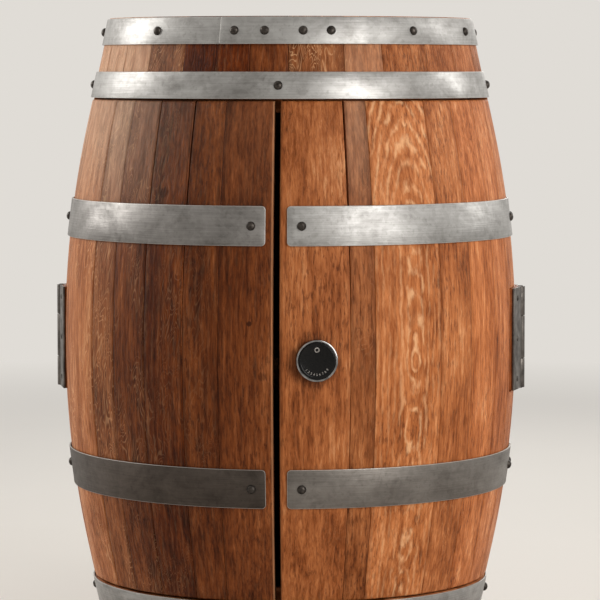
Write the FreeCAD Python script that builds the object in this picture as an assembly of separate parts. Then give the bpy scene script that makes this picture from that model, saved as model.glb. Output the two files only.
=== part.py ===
import FreeCAD, Part
import math
import os

# A bar cabinet made from an oak whisky barrel that stands on one end.
# Millimetres. The origin is the middle of the bottom end, +Z is up and the doors face -Y.
# Angles run round the barrel from the middle of the front, positive to the right.

# Barrel shell
barrel_height = 900.0
bilge_radius = 320.0
bow_radius = 1400.0
bow_half_height = 301.0
stave_thickness = 26.0
stave_seam = 0.5
hewn_flats = 40
bow_cuts = 8
hollow_cuts = 4
chime_land = 17.0
chime_bevel = 24.0
rear_stave_flats = (2, 3, 1, 2, 2, 3, 1, 2, 2, 2)
front_strip_shares = (
    0.0, 0.067, 0.133, 0.2, 0.267, 0.34, 0.397, 0.454, 0.516, 0.606, 0.672, 0.76, 0.833, 0.917, 1.0)

# Heads, held in a groove near each end of the staves
croze_offset = 40.0
croze_depth = 5.0
croze_clearance = 0.3
head_thickness = 22.0
head_rim = 9.0
head_tongue = 8.0
head_bevel = 12.0
head_seam = 0.5
head_board_shares = (0.0, 0.17, 0.36, 0.53, 0.7, 0.86, 1.0)

# Doors, cut out of the front half of the shell
front_strip_height = 110.7
door_rail_gap = 2.6
meeting_gap = 9.5
hinge_gap = 3.0
door_corner_radius = 4.5
left_stave_shares = (0.0, 0.15, 0.254, 0.381, 0.502, 0.606, 0.833, 1.0)
right_stave_shares = (0.0, 0.193, 0.264, 0.476, 0.6, 0.73, 0.84, 1.0)

# Hoops round the whole barrel
hoop_thickness = 2.4
hoop_clearance = 0.2
chime_hoop_width = 36.5
chime_hoop_setback = 1.0
quarter_hoop_width = 36.2

# Bilge hoops, cut at the doors: a strap on each door and the rest round the back
strap_width = 53.0
upper_strap_offset = 165.2
lower_strap_offset = 156.7
strap_meeting_setback = 10.0
strap_hinge_setback = 8.0
strap_corner_radius = 5.5

# Curved battens inside the doors, one behind each strap
batten_width = 44.0
batten_thickness = 16.0
batten_clearance = 0.15
batten_meeting_setback = 16.0
batten_hinge_setback = 14.0

# Rivets of the straps, forged with a many-sided head and a square shank
rivet_head_radius = 6.5
rivet_head_height = 5.0
rivet_head_sides = 8
rivet_crown_share = 0.6
rivet_shank_width = 5.0
rivet_shank_length = 36.0
rear_rivet_shank_length = 20.0
rivet_meeting_setback = 30.0
rivet_hinge_setback = 22.0
rivet_clearance = 0.1

# Stops that the doors close against, inside the short staves above and below them
stop_thickness = 18.0
stop_overlap = 16.0
stop_height = 46.0
stop_clearance = 0.8
stop_end_setback = 20.0

# Hinges, on wedge blocks that stand on a flat at each side of the barrel
hinge_height = 144.0
hinge_pin_offset = 7.5
hinge_lean = 13.0
knuckle_radius = 6.5
hinge_pin_radius = 3.5
hinge_pin_clearance = 0.06
hinge_pin_end = 1.0
hinge_leaf_thickness = 3.0
hinge_leaf_width = 56.0
hinge_leaf_offset = 0.5
hinge_flat_depth = 8.5
hinge_block_setback = 3.0
middle_knuckle_height = 60.0
knuckle_gap = 0.6
knuckle_swing_clearance = 1.0
leaf_swing_clearance = 3.5

# Lock on the right door: a fixed case, a dial that turns and a tongue behind the staves
lock_drop = 6.3
lock_setback = 49.0
lock_case_radius = 28.0
lock_case_wall = 2.8
lock_case_depth = 12.5
lock_seat_depth = 1.7
lock_seat_clearance = 0.3
lock_flange_thickness = 3.5
lock_tube_width = 22.0
lock_tube_inside = 14.0
lock_tube_length = 43.0
lock_tube_clearance = 0.3
lock_plate_width = 36.0
lock_plate_thickness = 4.0
lock_plate_clearance = 1.9
dial_clearance = 0.4
dial_recess = 1.0
spindle_radius = 5.0
spindle_clearance = 0.06
shank_width = 7.0
tongue_thickness = 4.0
tongue_width = 20.0
tongue_reach = 78.0
tongue_gap = 1.5
tongue_screw_radius = 8.0
tongue_screw_height = 4.5

# Bolt that holds the left door shut at the top
bolt_flat = 0
bolt_plate_width = 32.0
bolt_plate_length = 78.0
bolt_plate_thickness = 2.5
bolt_plate_clearance = 0.1
bolt_plate_drop = 23.0
bolt_width = 8.0
bolt_clearance = 0.08
bolt_length = 84.0
bolt_guide_width = 14.0
bolt_guide_length = 18.0
bolt_travel = 16.0
bolt_tip_gap = 3.0
bolt_socket_clearance = 1.0
bolt_knob_width = 9.0
bolt_knob_length = 14.0

# Shelf
shelf_height = 432.0
shelf_thickness = 20.0
shelf_clearance = 0.6
shelf_front_reach = 150.0
shelf_seam = 0.5
shelf_board_shares = (0.0, 0.16, 0.34, 0.5, 0.67, 0.84, 1.0)
cleat_height = 30.0
cleat_thickness = 22.0
cleat_half_angle = 10.0
cleat_angles = (128.0, 180.0, 232.0)
bearer_width = 28.0
bearer_height = 36.0
bearer_setback = 6.0

# Cuts run past the wood by this much, and an edge is on a plane when it is this close to it
overrun = 40.0
edge_match = 0.05

up = FreeCAD.Vector(0, 0, 1)
origin = FreeCAD.Vector(0, 0, 0)
mid_height = barrel_height / 2
taper_angle = math.asin(bow_half_height / bow_radius)
taper = math.tan(taper_angle)
bow_center = bilge_radius - bow_radius
strip_low = barrel_height - front_strip_height
door_top = strip_low - door_rail_gap
door_bottom = barrel_height - door_top
half_seam = math.degrees(stave_seam / 2 / bilge_radius)
flat_step = 360 / hewn_flats
hinge_radius = bilge_radius + hinge_pin_offset
hinge_flat = bilge_radius - hinge_flat_depth


def bowed_outline(arc_radius, cuts):
    """A stave's face as (height, radius) points: straight cuts along an arc, then a straight taper."""
    arc_half_height = arc_radius * math.sin(taper_angle)
    end_radius = bow_center + arc_radius * math.cos(taper_angle) - (mid_height - arc_half_height) * taper
    points = [(0, end_radius)]
    for number in range(cuts + 1):
        from_middle = arc_half_height * (2 * number / cuts - 1)
        points.append((mid_height + from_middle, bow_center + math.sqrt(arc_radius ** 2 - from_middle ** 2)))
    return points + [(barrel_height, end_radius)]


def radius_on(outline, height):
    for (low, low_radius), (high, high_radius) in zip(outline, outline[1:]):
        if low <= height <= high:
            return low_radius + (high_radius - low_radius) * (height - low) / (high - low)


outer_outline = bowed_outline(bow_radius, bow_cuts)
inner_outline = bowed_outline(bow_radius - stave_thickness, hollow_cuts)


def outer_radius(height):
    return radius_on(outer_outline, height)


def inner_radius(height):
    return radius_on(inner_outline, height)


def angle_of(length, radius):
    """The angle in degrees that a length takes up along an arc."""
    return math.degrees(length / radius)


def radial(angle):
    """The outward direction at an angle round the barrel."""
    turn = math.radians(angle)
    return FreeCAD.Vector(math.sin(turn), -math.cos(turn), 0)


def at(radius, height):
    """A point of a section in the plane that is turned about the barrel's axis."""
    return FreeCAD.Vector(radius, 0, height)


def section(points):
    return Part.Face(Part.makePolygon(points + points[:1]))


def wedge(start, end):
    """The space between two upright planes through the barrel's axis."""
    reach = bilge_radius + hinge_pin_offset + overrun
    foot = -up * overrun
    corners = [foot, foot + radial(start) * reach, foot + radial(end) * reach]
    return section(corners).extrude(up * (barrel_height + 2 * overrun))


def sector(face, start, end):
    """Carries a section round the barrel from one angle to another, in narrow flats as a cooper hews them."""
    half_run = 2 * bilge_radius * math.tan(math.radians(flat_step / 2))
    flats = []
    for number in range(math.floor(start / flat_step), math.ceil(end / flat_step)):
        run = face.copy()
        run.translate(FreeCAD.Vector(0, -half_run, 0))
        run = run.extrude(FreeCAD.Vector(0, 2 * half_run, 0))
        run.rotate(origin, up, (number + 0.5) * flat_step - 90)
        left = max(start, number * flat_step)
        right = min(end, (number + 1) * flat_step)
        flats.append(run.common(wedge(left, right)).Solids[0])
    if len(flats) == 1:
        return flats[0]
    return flats[0].multiFuse(flats[1:]).removeSplitter().Solids[0]


def polygon(radius, sides, height):
    """The corners of a many-sided outline about the Z axis, whose flats are at this distance from it."""
    corner_radius = radius / math.cos(math.pi / sides)
    corners = []
    for number in range(sides):
        turn = math.radians(360 * number / sides)
        corners.append(FreeCAD.Vector(corner_radius * math.cos(turn), corner_radius * math.sin(turn), height))
    return corners


def tapered_disc(low_radius, high_radius, low, high, sides):
    """A many-sided disc of one radius below and another above."""
    foot = polygon(low_radius, sides, low)
    head = polygon(high_radius, sides, high)
    faces = [section(foot), section(head)]
    for number in range(sides):
        faces.append(section([foot[number - 1], foot[number], head[number], head[number - 1]]))
    return Part.makeSolid(Part.makeShell(faces))


def hewn_disc(radius, low, high):
    """A disc with the same flats as the barrel."""
    return section(polygon(radius, hewn_flats, low)).extrude(up * (high - low))


def square_bar(width, top, bottom):
    return Part.makeBox(width, width, top - bottom, FreeCAD.Vector(-width / 2, -width / 2, bottom))


def turned(points):
    """A round piece about the Z axis: points are (radius, height)."""
    return section([at(radius, height) for radius, height in points]).revolve(origin, up, 360)


def along_axis(shape, base, direction):
    """Puts a piece that was made along +Z on another axis."""
    shape.Placement = FreeCAD.Placement(base, FreeCAD.Rotation(up, direction))
    return shape


def rod(radius, start, end):
    return Part.makeCylinder(radius, (end - start).Length, start, end - start)


def mirrored(shape):
    return shape.mirror(origin, FreeCAD.Vector(1, 0, 0))


def flipped(shape):
    return shape.mirror(FreeCAD.Vector(0, 0, mid_height), up)


def corner_edges(shape, angle, levels):
    """The short edges of a piece that lie on an upright plane through the axis and on one of two levels."""
    plane = radial(angle + 90)
    found = []
    for edge in shape.Edges:
        middle = edge.CenterOfMass
        off_level = min(abs(middle.z - level) for level in levels)
        if off_level < edge_match and abs(middle.dot(plane)) < edge_match:
            found.append(edge)
    return found


parts = {}


# Staves
def stave_section():
    """One stave cut along its length, with the bevel and the head's groove at each end."""
    groove_top = barrel_height - croze_offset
    groove_bottom = groove_top - head_rim - 2 * croze_clearance
    bevel_foot = barrel_height - chime_bevel
    upper_end = [
        at(outer_radius(barrel_height) - chime_land, barrel_height),
        at(inner_radius(bevel_foot), bevel_foot),
        at(inner_radius(groove_top), groove_top),
        at(croze_radius(), groove_top),
        at(croze_radius(), groove_bottom),
        at(inner_radius(groove_bottom), groove_bottom),
    ]
    lower_end = [at(point.x, barrel_height - point.z) for point in reversed(upper_end)]
    outside = [at(radius, height) for height, radius in outer_outline]
    hollow = [at(radius, height) for height, radius in reversed(inner_outline[1:-1])]
    return section(outside + upper_end + hollow + lower_end)


def croze_radius():
    groove_middle = barrel_height - croze_offset - head_rim / 2 - croze_clearance
    return inner_radius(groove_middle) + croze_depth


def between(face, low, high):
    """The stretch of a stave's section between two heights."""
    inside = 0
    outside = bilge_radius + overrun
    window = section([at(inside, low), at(outside, low), at(outside, high), at(inside, high)])
    return face.common(window).Faces[0]


def staves(face, angles):
    """Staves side by side between some angles, with a hairline seam between neighbours."""
    made = []
    for left, right in zip(angles, angles[1:]):
        first = left if left == angles[0] else left + half_seam
        last = right if right == angles[-1] else right - half_seam
        made.append(sector(face, first, last))
    return made


def shared_out(start, end, shares):
    return [start + (end - start) * share for share in shares]


def rear_stave_angles():
    """The rear staves' edges: each is a whole number of flats wide, counted from the side of the barrel."""
    angles = [90]
    for flats in rear_stave_flats:
        angles.append(angles[-1] + flats * flat_step)
    return [body_start_angle] + angles[1:-1] + [360 - body_start_angle]


whole_stave = stave_section()
door_stave = between(whole_stave, door_bottom, door_top)
upper_stave = between(whole_stave, strip_low, barrel_height)
lower_stave = between(whole_stave, 0, front_strip_height)

meeting_angle = angle_of(meeting_gap / 2, bilge_radius)
door_end_angle = 90 - angle_of(hinge_gap / 2, bilge_radius)
body_start_angle = 90 + angle_of(hinge_gap / 2, bilge_radius)

strip_end_angle = body_start_angle - 2 * half_seam

strip_angles = shared_out(-strip_end_angle, strip_end_angle, front_strip_shares)
right_angles = shared_out(meeting_angle, door_end_angle, right_stave_shares)
left_angles = shared_out(meeting_angle, door_end_angle, left_stave_shares)

rear_staves = staves(whole_stave, rear_stave_angles())
upper_strip = staves(upper_stave, strip_angles)
lower_strip = staves(lower_stave, strip_angles)
right_staves = staves(door_stave, right_angles)
left_staves = [mirrored(stave) for stave in staves(door_stave, left_angles)]


def rounded_door_corners(stave, angle):
    """The door's first stave with its two corners at the meeting edge rounded."""
    return stave.makeFillet(door_corner_radius, corner_edges(stave, angle, (door_bottom, door_top)))


right_staves[0] = rounded_door_corners(right_staves[0], meeting_angle)
left_staves[0] = rounded_door_corners(left_staves[0], -meeting_angle)


# Heads
def head_boards():
    """The top head, a bevelled disc in the croze, sawn into boards that run from front to back."""
    radius = croze_radius() - croze_clearance
    foot = barrel_height - croze_offset - croze_clearance - head_rim
    shoulder = radius - head_tongue
    rim = hewn_disc(radius, foot, foot + head_rim)
    field = tapered_disc(shoulder, shoulder - head_bevel, foot + head_rim, foot + head_thickness, hewn_flats)
    return boards(rim.fuse(field).removeSplitter(), radius, head_board_shares, head_seam, foot)


def boards(disc, reach, shares, seam, height):
    """Saws a disc or a shelf into boards that lie side by side along X."""
    made = []
    for first, last in zip(shares, shares[1:]):
        left = -reach + 2 * reach * first + (seam / 2 if first > 0 else -overrun)
        right = -reach + 2 * reach * last - (seam / 2 if last < 1 else -overrun)
        depth = 2 * (reach + overrun)
        corner = FreeCAD.Vector(left, -depth / 2, height - overrun)
        made.append(disc.common(Part.makeBox(right - left, depth, 2 * overrun, corner)).Solids[0])
    return made


top_head = head_boards()
parts["top_head_boards"] = top_head
parts["bottom_head_boards"] = [flipped(board) for board in top_head]


# Hoops and straps
def band_radii(low, high):
    """The inner radius of a straight band at its lower and upper edge, just clear of the bow between them."""
    foot = outer_radius(low)
    head = outer_radius(high)
    lift = hoop_clearance
    for height, radius in outer_outline:
        if low < height < high:
            straight = foot + (head - foot) * (height - low) / (high - low)
            lift = max(lift, radius - straight + hoop_clearance)
    return foot + lift, head + lift


def band_section(low, high):
    """A flat steel band laid on the staves, straight in section."""
    foot, head = band_radii(low, high)
    return section([
        at(foot, low), at(foot + hoop_thickness, low), at(head + hoop_thickness, high), at(head, high)])


chime_low = barrel_height - chime_hoop_setback - chime_hoop_width
top_chime = sector(band_section(chime_low, chime_low + chime_hoop_width), 0, 360)
top_quarter = sector(band_section(strip_low, strip_low + quarter_hoop_width), 0, 360)
parts["top_chime_hoop"] = [top_chime]
parts["top_quarter_hoop"] = [top_quarter]
parts["bottom_quarter_hoop"] = [flipped(top_quarter)]
parts["bottom_chime_hoop"] = [flipped(top_chime)]

strap_heights = {"upper": door_top - upper_strap_offset, "lower": door_bottom + lower_strap_offset}


def strap(middle):
    """A door strap on the right: a band with two rounded corners at the meeting edge."""
    low = middle - strap_width / 2
    high = middle + strap_width / 2
    start = meeting_angle + angle_of(strap_meeting_setback, bilge_radius)
    end = door_end_angle - angle_of(strap_hinge_setback, bilge_radius)
    band = sector(band_section(low, high), start, end)
    return band.makeFillet(strap_corner_radius, corner_edges(band, start, (low, high)))


def rear_bilge_hoop(middle):
    low = middle - strap_width / 2
    start = body_start_angle + angle_of(strap_hinge_setback, bilge_radius)
    return sector(band_section(low, low + strap_width), start, 360 - start)


def on_band(angle, middle):
    """The point on the outside of a strap at an angle, and the direction square to the flat there."""
    foot, head = band_radii(middle - strap_width / 2, middle + strap_width / 2)
    flat_middle = (math.floor(angle / flat_step) + 0.5) * flat_step
    radius = ((foot + head) / 2 + hoop_thickness) / math.cos(math.radians(angle - flat_middle))
    outward = radial(flat_middle) * strap_width + up * (foot - head)
    return radial(angle) * radius + up * middle, outward


def rivet(shank_length):
    head = tapered_disc(
        rivet_head_radius, rivet_head_radius * rivet_crown_share, 0, rivet_head_height, rivet_head_sides)
    return head.fuse(square_bar(rivet_shank_width, 0, -shank_length))


def rivet_hole(shank_length):
    return square_bar(rivet_shank_width + 2 * rivet_clearance, overrun, -shank_length - rivet_clearance)


def riveted(places, shank_length):
    """The rivets at some places on the bands, and the holes that they need."""
    pieces = [along_axis(rivet(shank_length), *place) for place in places]
    holes = [along_axis(rivet_hole(shank_length), *place) for place in places]
    return pieces, Part.makeCompound(holes)


meeting_rivet_angle = meeting_angle + angle_of(rivet_meeting_setback, bilge_radius)
hinge_rivet_angle = door_end_angle - angle_of(rivet_hinge_setback, bilge_radius)
body_rivet_angle = body_start_angle + angle_of(rivet_hinge_setback, bilge_radius)

right_rivet_places = []
rear_rivet_places = []
for middle in strap_heights.values():
    right_rivet_places += [on_band(angle, middle) for angle in (meeting_rivet_angle, hinge_rivet_angle)]
    rear_rivet_places += [on_band(angle, middle) for angle in (body_rivet_angle, 360 - body_rivet_angle)]
right_rivets, right_rivet_holes = riveted(right_rivet_places, rivet_shank_length)
rear_rivets, rear_rivet_holes = riveted(rear_rivet_places, rear_rivet_shank_length)
left_rivet_holes = mirrored(right_rivet_holes)

parts["right_strap_rivets"] = right_rivets
parts["left_strap_rivets"] = [mirrored(piece) for piece in right_rivets]
parts["rear_hoop_rivets"] = rear_rivets


def rail_section(low, high, clearance, thickness):
    """A rail that lies along the inside of the staves between two heights."""
    foot = inner_radius(low) - clearance
    head = inner_radius(high) - clearance
    return section([at(foot, low), at(head, high), at(head - thickness, high), at(foot - thickness, low)])


def batten(middle):
    """A batten on the right door, behind a strap."""
    low = middle - batten_width / 2
    start = meeting_angle + angle_of(batten_meeting_setback, bilge_radius)
    end = door_end_angle - angle_of(batten_hinge_setback, bilge_radius)
    return sector(rail_section(low, low + batten_width, batten_clearance, batten_thickness), start, end)


for level, middle in strap_heights.items():
    right_strap = strap(middle).cut(right_rivet_holes)
    right_batten = batten(middle).cut(right_rivet_holes)
    parts["right_%s_strap" % level] = [right_strap]
    parts["left_%s_strap" % level] = [mirrored(right_strap)]
    parts["right_%s_batten" % level] = [right_batten]
    parts["left_%s_batten" % level] = [mirrored(right_batten)]
    parts["rear_%s_bilge_hoop" % level] = [rear_bilge_hoop(middle).cut(rear_rivet_holes)]


# Door stops
def door_stop():
    """The upper stop: a curved rail inside the short staves that hangs down behind the doors."""
    low = door_top - stop_overlap
    end = body_start_angle - angle_of(stop_end_setback, bilge_radius)
    return sector(rail_section(low, low + stop_height, stop_clearance, stop_thickness), -end, end)


upper_stop = door_stop()
lower_stop = flipped(upper_stop)


# Hinges
hinge_low = mid_height - hinge_height / 2
hinge_high = mid_height + hinge_height / 2
middle_low = mid_height - middle_knuckle_height / 2
middle_high = mid_height + middle_knuckle_height / 2
pin_foot = FreeCAD.Vector(hinge_radius, 0, hinge_low)
pin_top = FreeCAD.Vector(hinge_radius, 0, hinge_high)


def hinge_leaf(knuckles, gaps):
    """A leaf that runs forwards from the right pin and leans towards the door."""
    plate = Part.makeBox(
        hinge_leaf_thickness, hinge_leaf_width, hinge_height,
        FreeCAD.Vector(hinge_radius + hinge_leaf_offset, -hinge_leaf_width, hinge_low))
    for low, high in gaps:
        reach = knuckle_radius + leaf_swing_clearance
        corner = FreeCAD.Vector(hinge_radius - reach, -reach, low)
        plate = plate.cut(Part.makeBox(2 * reach, 2 * reach, high - low, corner))
    leaf = plate
    for low, high in knuckles:
        base = FreeCAD.Vector(hinge_radius, 0, low)
        leaf = leaf.fuse(Part.makeCylinder(knuckle_radius, high - low, base))
    bore = Part.makeCylinder(
        hinge_pin_radius + hinge_pin_clearance, hinge_height + overrun, pin_foot - up * overrun / 2)
    leaf = leaf.cut(bore).removeSplitter()
    leaf.rotate(pin_foot, up, -hinge_lean)
    return leaf


def hinge_block():
    """The wedge between the flat on the door and the leaf that leans on it."""
    leaf_inside = hinge_radius + hinge_leaf_offset
    reach = hinge_leaf_width - hinge_block_setback
    block = Part.makeBox(
        leaf_inside - hinge_flat, reach - hinge_gap / 2, hinge_height,
        FreeCAD.Vector(hinge_flat, -reach, hinge_low))
    cover = Part.makeBox(
        overrun, hinge_leaf_width + overrun, hinge_height,
        FreeCAD.Vector(leaf_inside, -hinge_leaf_width - overrun, hinge_low))
    cover.rotate(pin_foot, up, -hinge_lean)
    knuckle_space = Part.makeCylinder(knuckle_radius + knuckle_swing_clearance, hinge_height, pin_foot)
    return block.cut(cover).cut(knuckle_space)


def hinge_seat():
    """What is cut off the outside of the right staves so that the blocks stand on a flat."""
    clearance = knuckle_swing_clearance
    return Part.makeBox(
        overrun, 2 * bilge_radius, hinge_height + 2 * clearance,
        FreeCAD.Vector(hinge_flat, -bilge_radius, hinge_low - clearance))


def to_rear(shape):
    return shape.mirror(origin, FreeCAD.Vector(0, 1, 0))


middle_knuckle = [(middle_low, middle_high)]
end_knuckles = [(hinge_low, middle_low - knuckle_gap), (middle_high + knuckle_gap, hinge_high)]
end_gaps = [(hinge_low, middle_low), (middle_high, hinge_high)]
middle_gap = [(middle_low - knuckle_gap, middle_high + knuckle_gap)]
right_door_leaf = hinge_leaf(middle_knuckle, end_gaps)
right_body_leaf = to_rear(hinge_leaf(end_knuckles, middle_gap))
right_pin = rod(hinge_pin_radius, pin_foot - up * hinge_pin_end, pin_top + up * hinge_pin_end)
right_door_block = hinge_block()
right_body_block = to_rear(right_door_block)
right_seat = hinge_seat()
left_seat = mirrored(right_seat)

parts["right_hinge_door_leaf"] = [right_door_leaf]
parts["left_hinge_door_leaf"] = [mirrored(right_door_leaf)]
parts["right_hinge_body_leaf"] = [right_body_leaf]
parts["left_hinge_body_leaf"] = [mirrored(right_body_leaf)]
parts["right_hinge_door_block"] = [right_door_block]
parts["left_hinge_door_block"] = [mirrored(right_door_block)]
parts["right_hinge_body_block"] = [right_body_block]
parts["left_hinge_body_block"] = [mirrored(right_body_block)]
parts["right_hinge_pin"] = [right_pin]
parts["left_hinge_pin"] = [mirrored(right_pin)]


# Lock, made along +Z with Y upwards and then put on its own axis
lock_angle = meeting_angle + angle_of(lock_setback, bilge_radius)
lock_axis = radial(lock_angle)
seat_depth = bilge_radius - lock_seat_depth
case_front = seat_depth + lock_case_depth
flange_front = seat_depth + lock_flange_thickness
tube_back = seat_depth - lock_tube_length
plate_front = bilge_radius - stave_thickness - lock_plate_clearance
plate_back = plate_front - lock_plate_thickness
tongue_front = tube_back - tongue_gap
tongue_back = tongue_front - tongue_thickness
spindle_bore = spindle_radius + spindle_clearance
shank_hole_width = shank_width + 2 * spindle_clearance
tube_hole_width = lock_tube_width + 2 * lock_tube_clearance
case_inside = lock_case_radius - lock_case_wall


def on_lock(shape):
    turn = FreeCAD.Rotation(up.cross(lock_axis), up, lock_axis, "ZYX")
    shape.Placement = FreeCAD.Placement(up * (mid_height - lock_drop), turn)
    return shape


def square_tube(width, inside, front, back):
    return square_bar(width, front, back).cut(square_bar(inside, front, back))


def lock_case():
    """The round case on the outside, with a bearing for the dial and a square tube through the stave."""
    cup = turned([
        (spindle_bore, seat_depth), (lock_case_radius, seat_depth), (lock_case_radius, case_front),
        (case_inside, case_front), (case_inside, flange_front), (spindle_bore, flange_front)])
    return cup.fuse(square_tube(lock_tube_width, lock_tube_inside, seat_depth, tube_back))


def lock_dial():
    """The dial, its round journal and the square shank that carries the tongue."""
    dial_radius = case_inside - dial_clearance
    dial_back = flange_front + dial_clearance
    dial_front = case_front - dial_recess
    face = turned([
        (0, seat_depth), (spindle_radius, seat_depth), (spindle_radius, dial_back), (dial_radius, dial_back),
        (dial_radius, dial_front), (0, dial_front)])
    return face.fuse(square_bar(shank_width, seat_depth, tongue_back))


def lock_tongue():
    """The tongue, which points up while the door is unlocked."""
    corner = FreeCAD.Vector(-tongue_width / 2, -tongue_width / 2, tongue_back)
    bar = Part.makeBox(tongue_width, tongue_reach + tongue_width / 2, tongue_thickness, corner)
    return bar.cut(square_bar(shank_hole_width, tongue_front, tongue_back))


def lock_hole():
    """The flat seat under the case and the square hole for its tube."""
    seat = Part.makeCylinder(lock_case_radius + lock_seat_clearance, overrun, up * seat_depth)
    return seat.fuse(square_bar(tube_hole_width, seat_depth, tube_back))


tongue_screw = tapered_disc(
    tongue_screw_radius, tongue_screw_radius, tongue_back - tongue_screw_height, tongue_back, 6)
parts["lock_case"] = [on_lock(lock_case())]
parts["lock_dial"] = [on_lock(lock_dial())]
parts["lock_tongue"] = [on_lock(lock_tongue())]
parts["lock_tongue_screw"] = [on_lock(tongue_screw)]
parts["lock_back_plate"] = [on_lock(square_tube(lock_plate_width, tube_hole_width, plate_front, plate_back))]
right_staves[0] = right_staves[0].cut(on_lock(lock_hole()))


# Bolt on the left door, set square on one of the flats inside its first stave
bolt_angle = (bolt_flat + 0.5) * flat_step
stop_foot = door_top - stop_overlap
plate_high = stop_foot - bolt_plate_drop
plate_low = plate_high - bolt_plate_length
bolt_tilt = math.atan2(inner_radius(plate_low) - inner_radius(plate_high), bolt_plate_length)
bolt_slope = FreeCAD.Vector(-math.sin(bolt_tilt), 0, math.cos(bolt_tilt))
bolt_outward = FreeCAD.Vector(math.cos(bolt_tilt), 0, math.sin(bolt_tilt))
bolt_depth = bolt_plate_clearance + bolt_plate_thickness + bolt_guide_width / 2
bolt_base = at(inner_radius(plate_high), plate_high) - bolt_outward * bolt_depth
bolt_mouth = bolt_base + bolt_slope * (bolt_plate_drop / math.cos(bolt_tilt))
bolt_rise = (bolt_mouth - bolt_base).Length


def on_left_door(shape):
    """Puts a piece that was made along +Z with X outwards on the bolt's line on the left door."""
    shape.rotate(origin, FreeCAD.Vector(0, 1, 0), -math.degrees(bolt_tilt))
    shape.translate(bolt_base)
    shape.rotate(origin, up, -bolt_angle - 90)
    return shape


def bolt_plate():
    """The plate on the stave and the two guides that the bolt slides in."""
    half_guide = bolt_guide_width / 2
    plate = Part.makeBox(
        bolt_plate_thickness, bolt_plate_width, bolt_plate_length,
        FreeCAD.Vector(half_guide, -bolt_plate_width / 2, -bolt_plate_length))
    for top in (0, bolt_guide_length - bolt_plate_length):
        plate = plate.fuse(square_bar(bolt_guide_width, top, top - bolt_guide_length))
    plate = plate.cut(square_bar(bolt_width + 2 * bolt_clearance, 0, -bolt_plate_length))
    return on_left_door(plate.removeSplitter())


def sliding_bolt():
    """The square bolt, with a small knob that is pushed up to shut it."""
    top = bolt_rise - bolt_tip_gap
    knob = Part.makeBox(
        bolt_knob_length, bolt_knob_width, bolt_knob_width,
        FreeCAD.Vector(-bolt_knob_length, -bolt_knob_width / 2, -(bolt_plate_length + bolt_knob_width) / 2))
    return on_left_door(square_bar(bolt_width, top, top - bolt_length).fuse(knob).removeSplitter())


def bolt_socket():
    """The hole in the upper stop that takes the bolt."""
    width = bolt_width + 2 * bolt_socket_clearance
    return on_left_door(square_bar(width, bolt_rise + bolt_travel + bolt_tip_gap, bolt_rise - bolt_tip_gap))


parts["bolt_plate"] = [bolt_plate()]
parts["sliding_bolt"] = [sliding_bolt()]
parts["upper_door_stop"] = [upper_stop.cut(bolt_socket())]
parts["lower_door_stop"] = [lower_stop]


# Shelf
def shelf_boards():
    """Boards from front to back: round at the rear, short enough in front to clear the doors."""
    low = shelf_height - shelf_thickness
    rear = min(inner_radius(shelf_height), inner_radius(low)) - shelf_clearance
    side = rear - batten_thickness - stop_thickness
    rear_half = Part.makeBox(
        2 * (rear + overrun), rear + overrun, shelf_thickness, FreeCAD.Vector(-rear - overrun, 0, low))
    front_half = Part.makeBox(
        2 * side, shelf_front_reach, shelf_thickness, FreeCAD.Vector(-side, -shelf_front_reach, low))
    plan = rear_half.fuse(front_half).removeSplitter()
    shelf = hewn_disc(rear, low, shelf_height).common(plan)
    return boards(shelf, rear, shelf_board_shares, shelf_seam, shelf_height)


def shelf_cleats():
    """Blocks on the rear staves that carry the back ends of the boards."""
    high = shelf_height - shelf_thickness
    face = rail_section(high - cleat_height, high, shelf_clearance, cleat_thickness)
    return [sector(face, angle - cleat_half_angle, angle + cleat_half_angle) for angle in cleat_angles]


def shelf_bearer():
    """The cross rail under the boards, from one side of the body to the other."""
    high = shelf_height - shelf_thickness
    low = high - bearer_height
    radius = inner_radius(low) - shelf_clearance
    corner = FreeCAD.Vector(-radius - overrun, bearer_setback, low)
    block = Part.makeBox(2 * (radius + overrun), bearer_width, bearer_height, corner)
    return block.common(hewn_disc(radius, low, high))


parts["shelf_boards"] = shelf_boards()
parts["shelf_cleats"] = shelf_cleats()
parts["shelf_bearer"] = [shelf_bearer()]


# Wood, last, with its holes and seats cut
rear_staves[0] = rear_staves[0].cut(right_seat)
rear_staves[-1] = rear_staves[-1].cut(left_seat)
parts["rear_staves"] = [stave.cut(rear_rivet_holes) for stave in rear_staves]
parts["upper_front_staves"] = upper_strip
parts["lower_front_staves"] = lower_strip
for number, stave in enumerate(right_staves, 1):
    parts["right_door_stave_%d" % number] = [stave.cut(right_rivet_holes).cut(right_seat)]
for number, stave in enumerate(left_staves, 1):
    parts["left_door_stave_%d" % number] = [stave.cut(left_rivet_holes).cut(left_seat)]

os.makedirs("parts", exist_ok=True)
for name, solids in parts.items():
    shape = solids[0] if len(solids) == 1 else Part.makeCompound(solids)
    shape.exportStep("parts/%s.step" % name)
print(len(parts), "nodes,", sum(len(solids) for solids in parts.values()), "pieces")
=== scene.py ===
# %% [markdown]
# # A bar cabinet made from an oak barrel
#
# The cabinet is a whisky barrel that stands on one end. Its front is sawn into two doors, steel hoops hold
# the staves, and a small round lock sits on the right door. The imported model comes first, because every
# piece of this lesson is placed against it. Its box is kept here.

# %% Load the imported model
import math

import bmesh
import bpy
from mathutils import Matrix, Vector, noise


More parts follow.
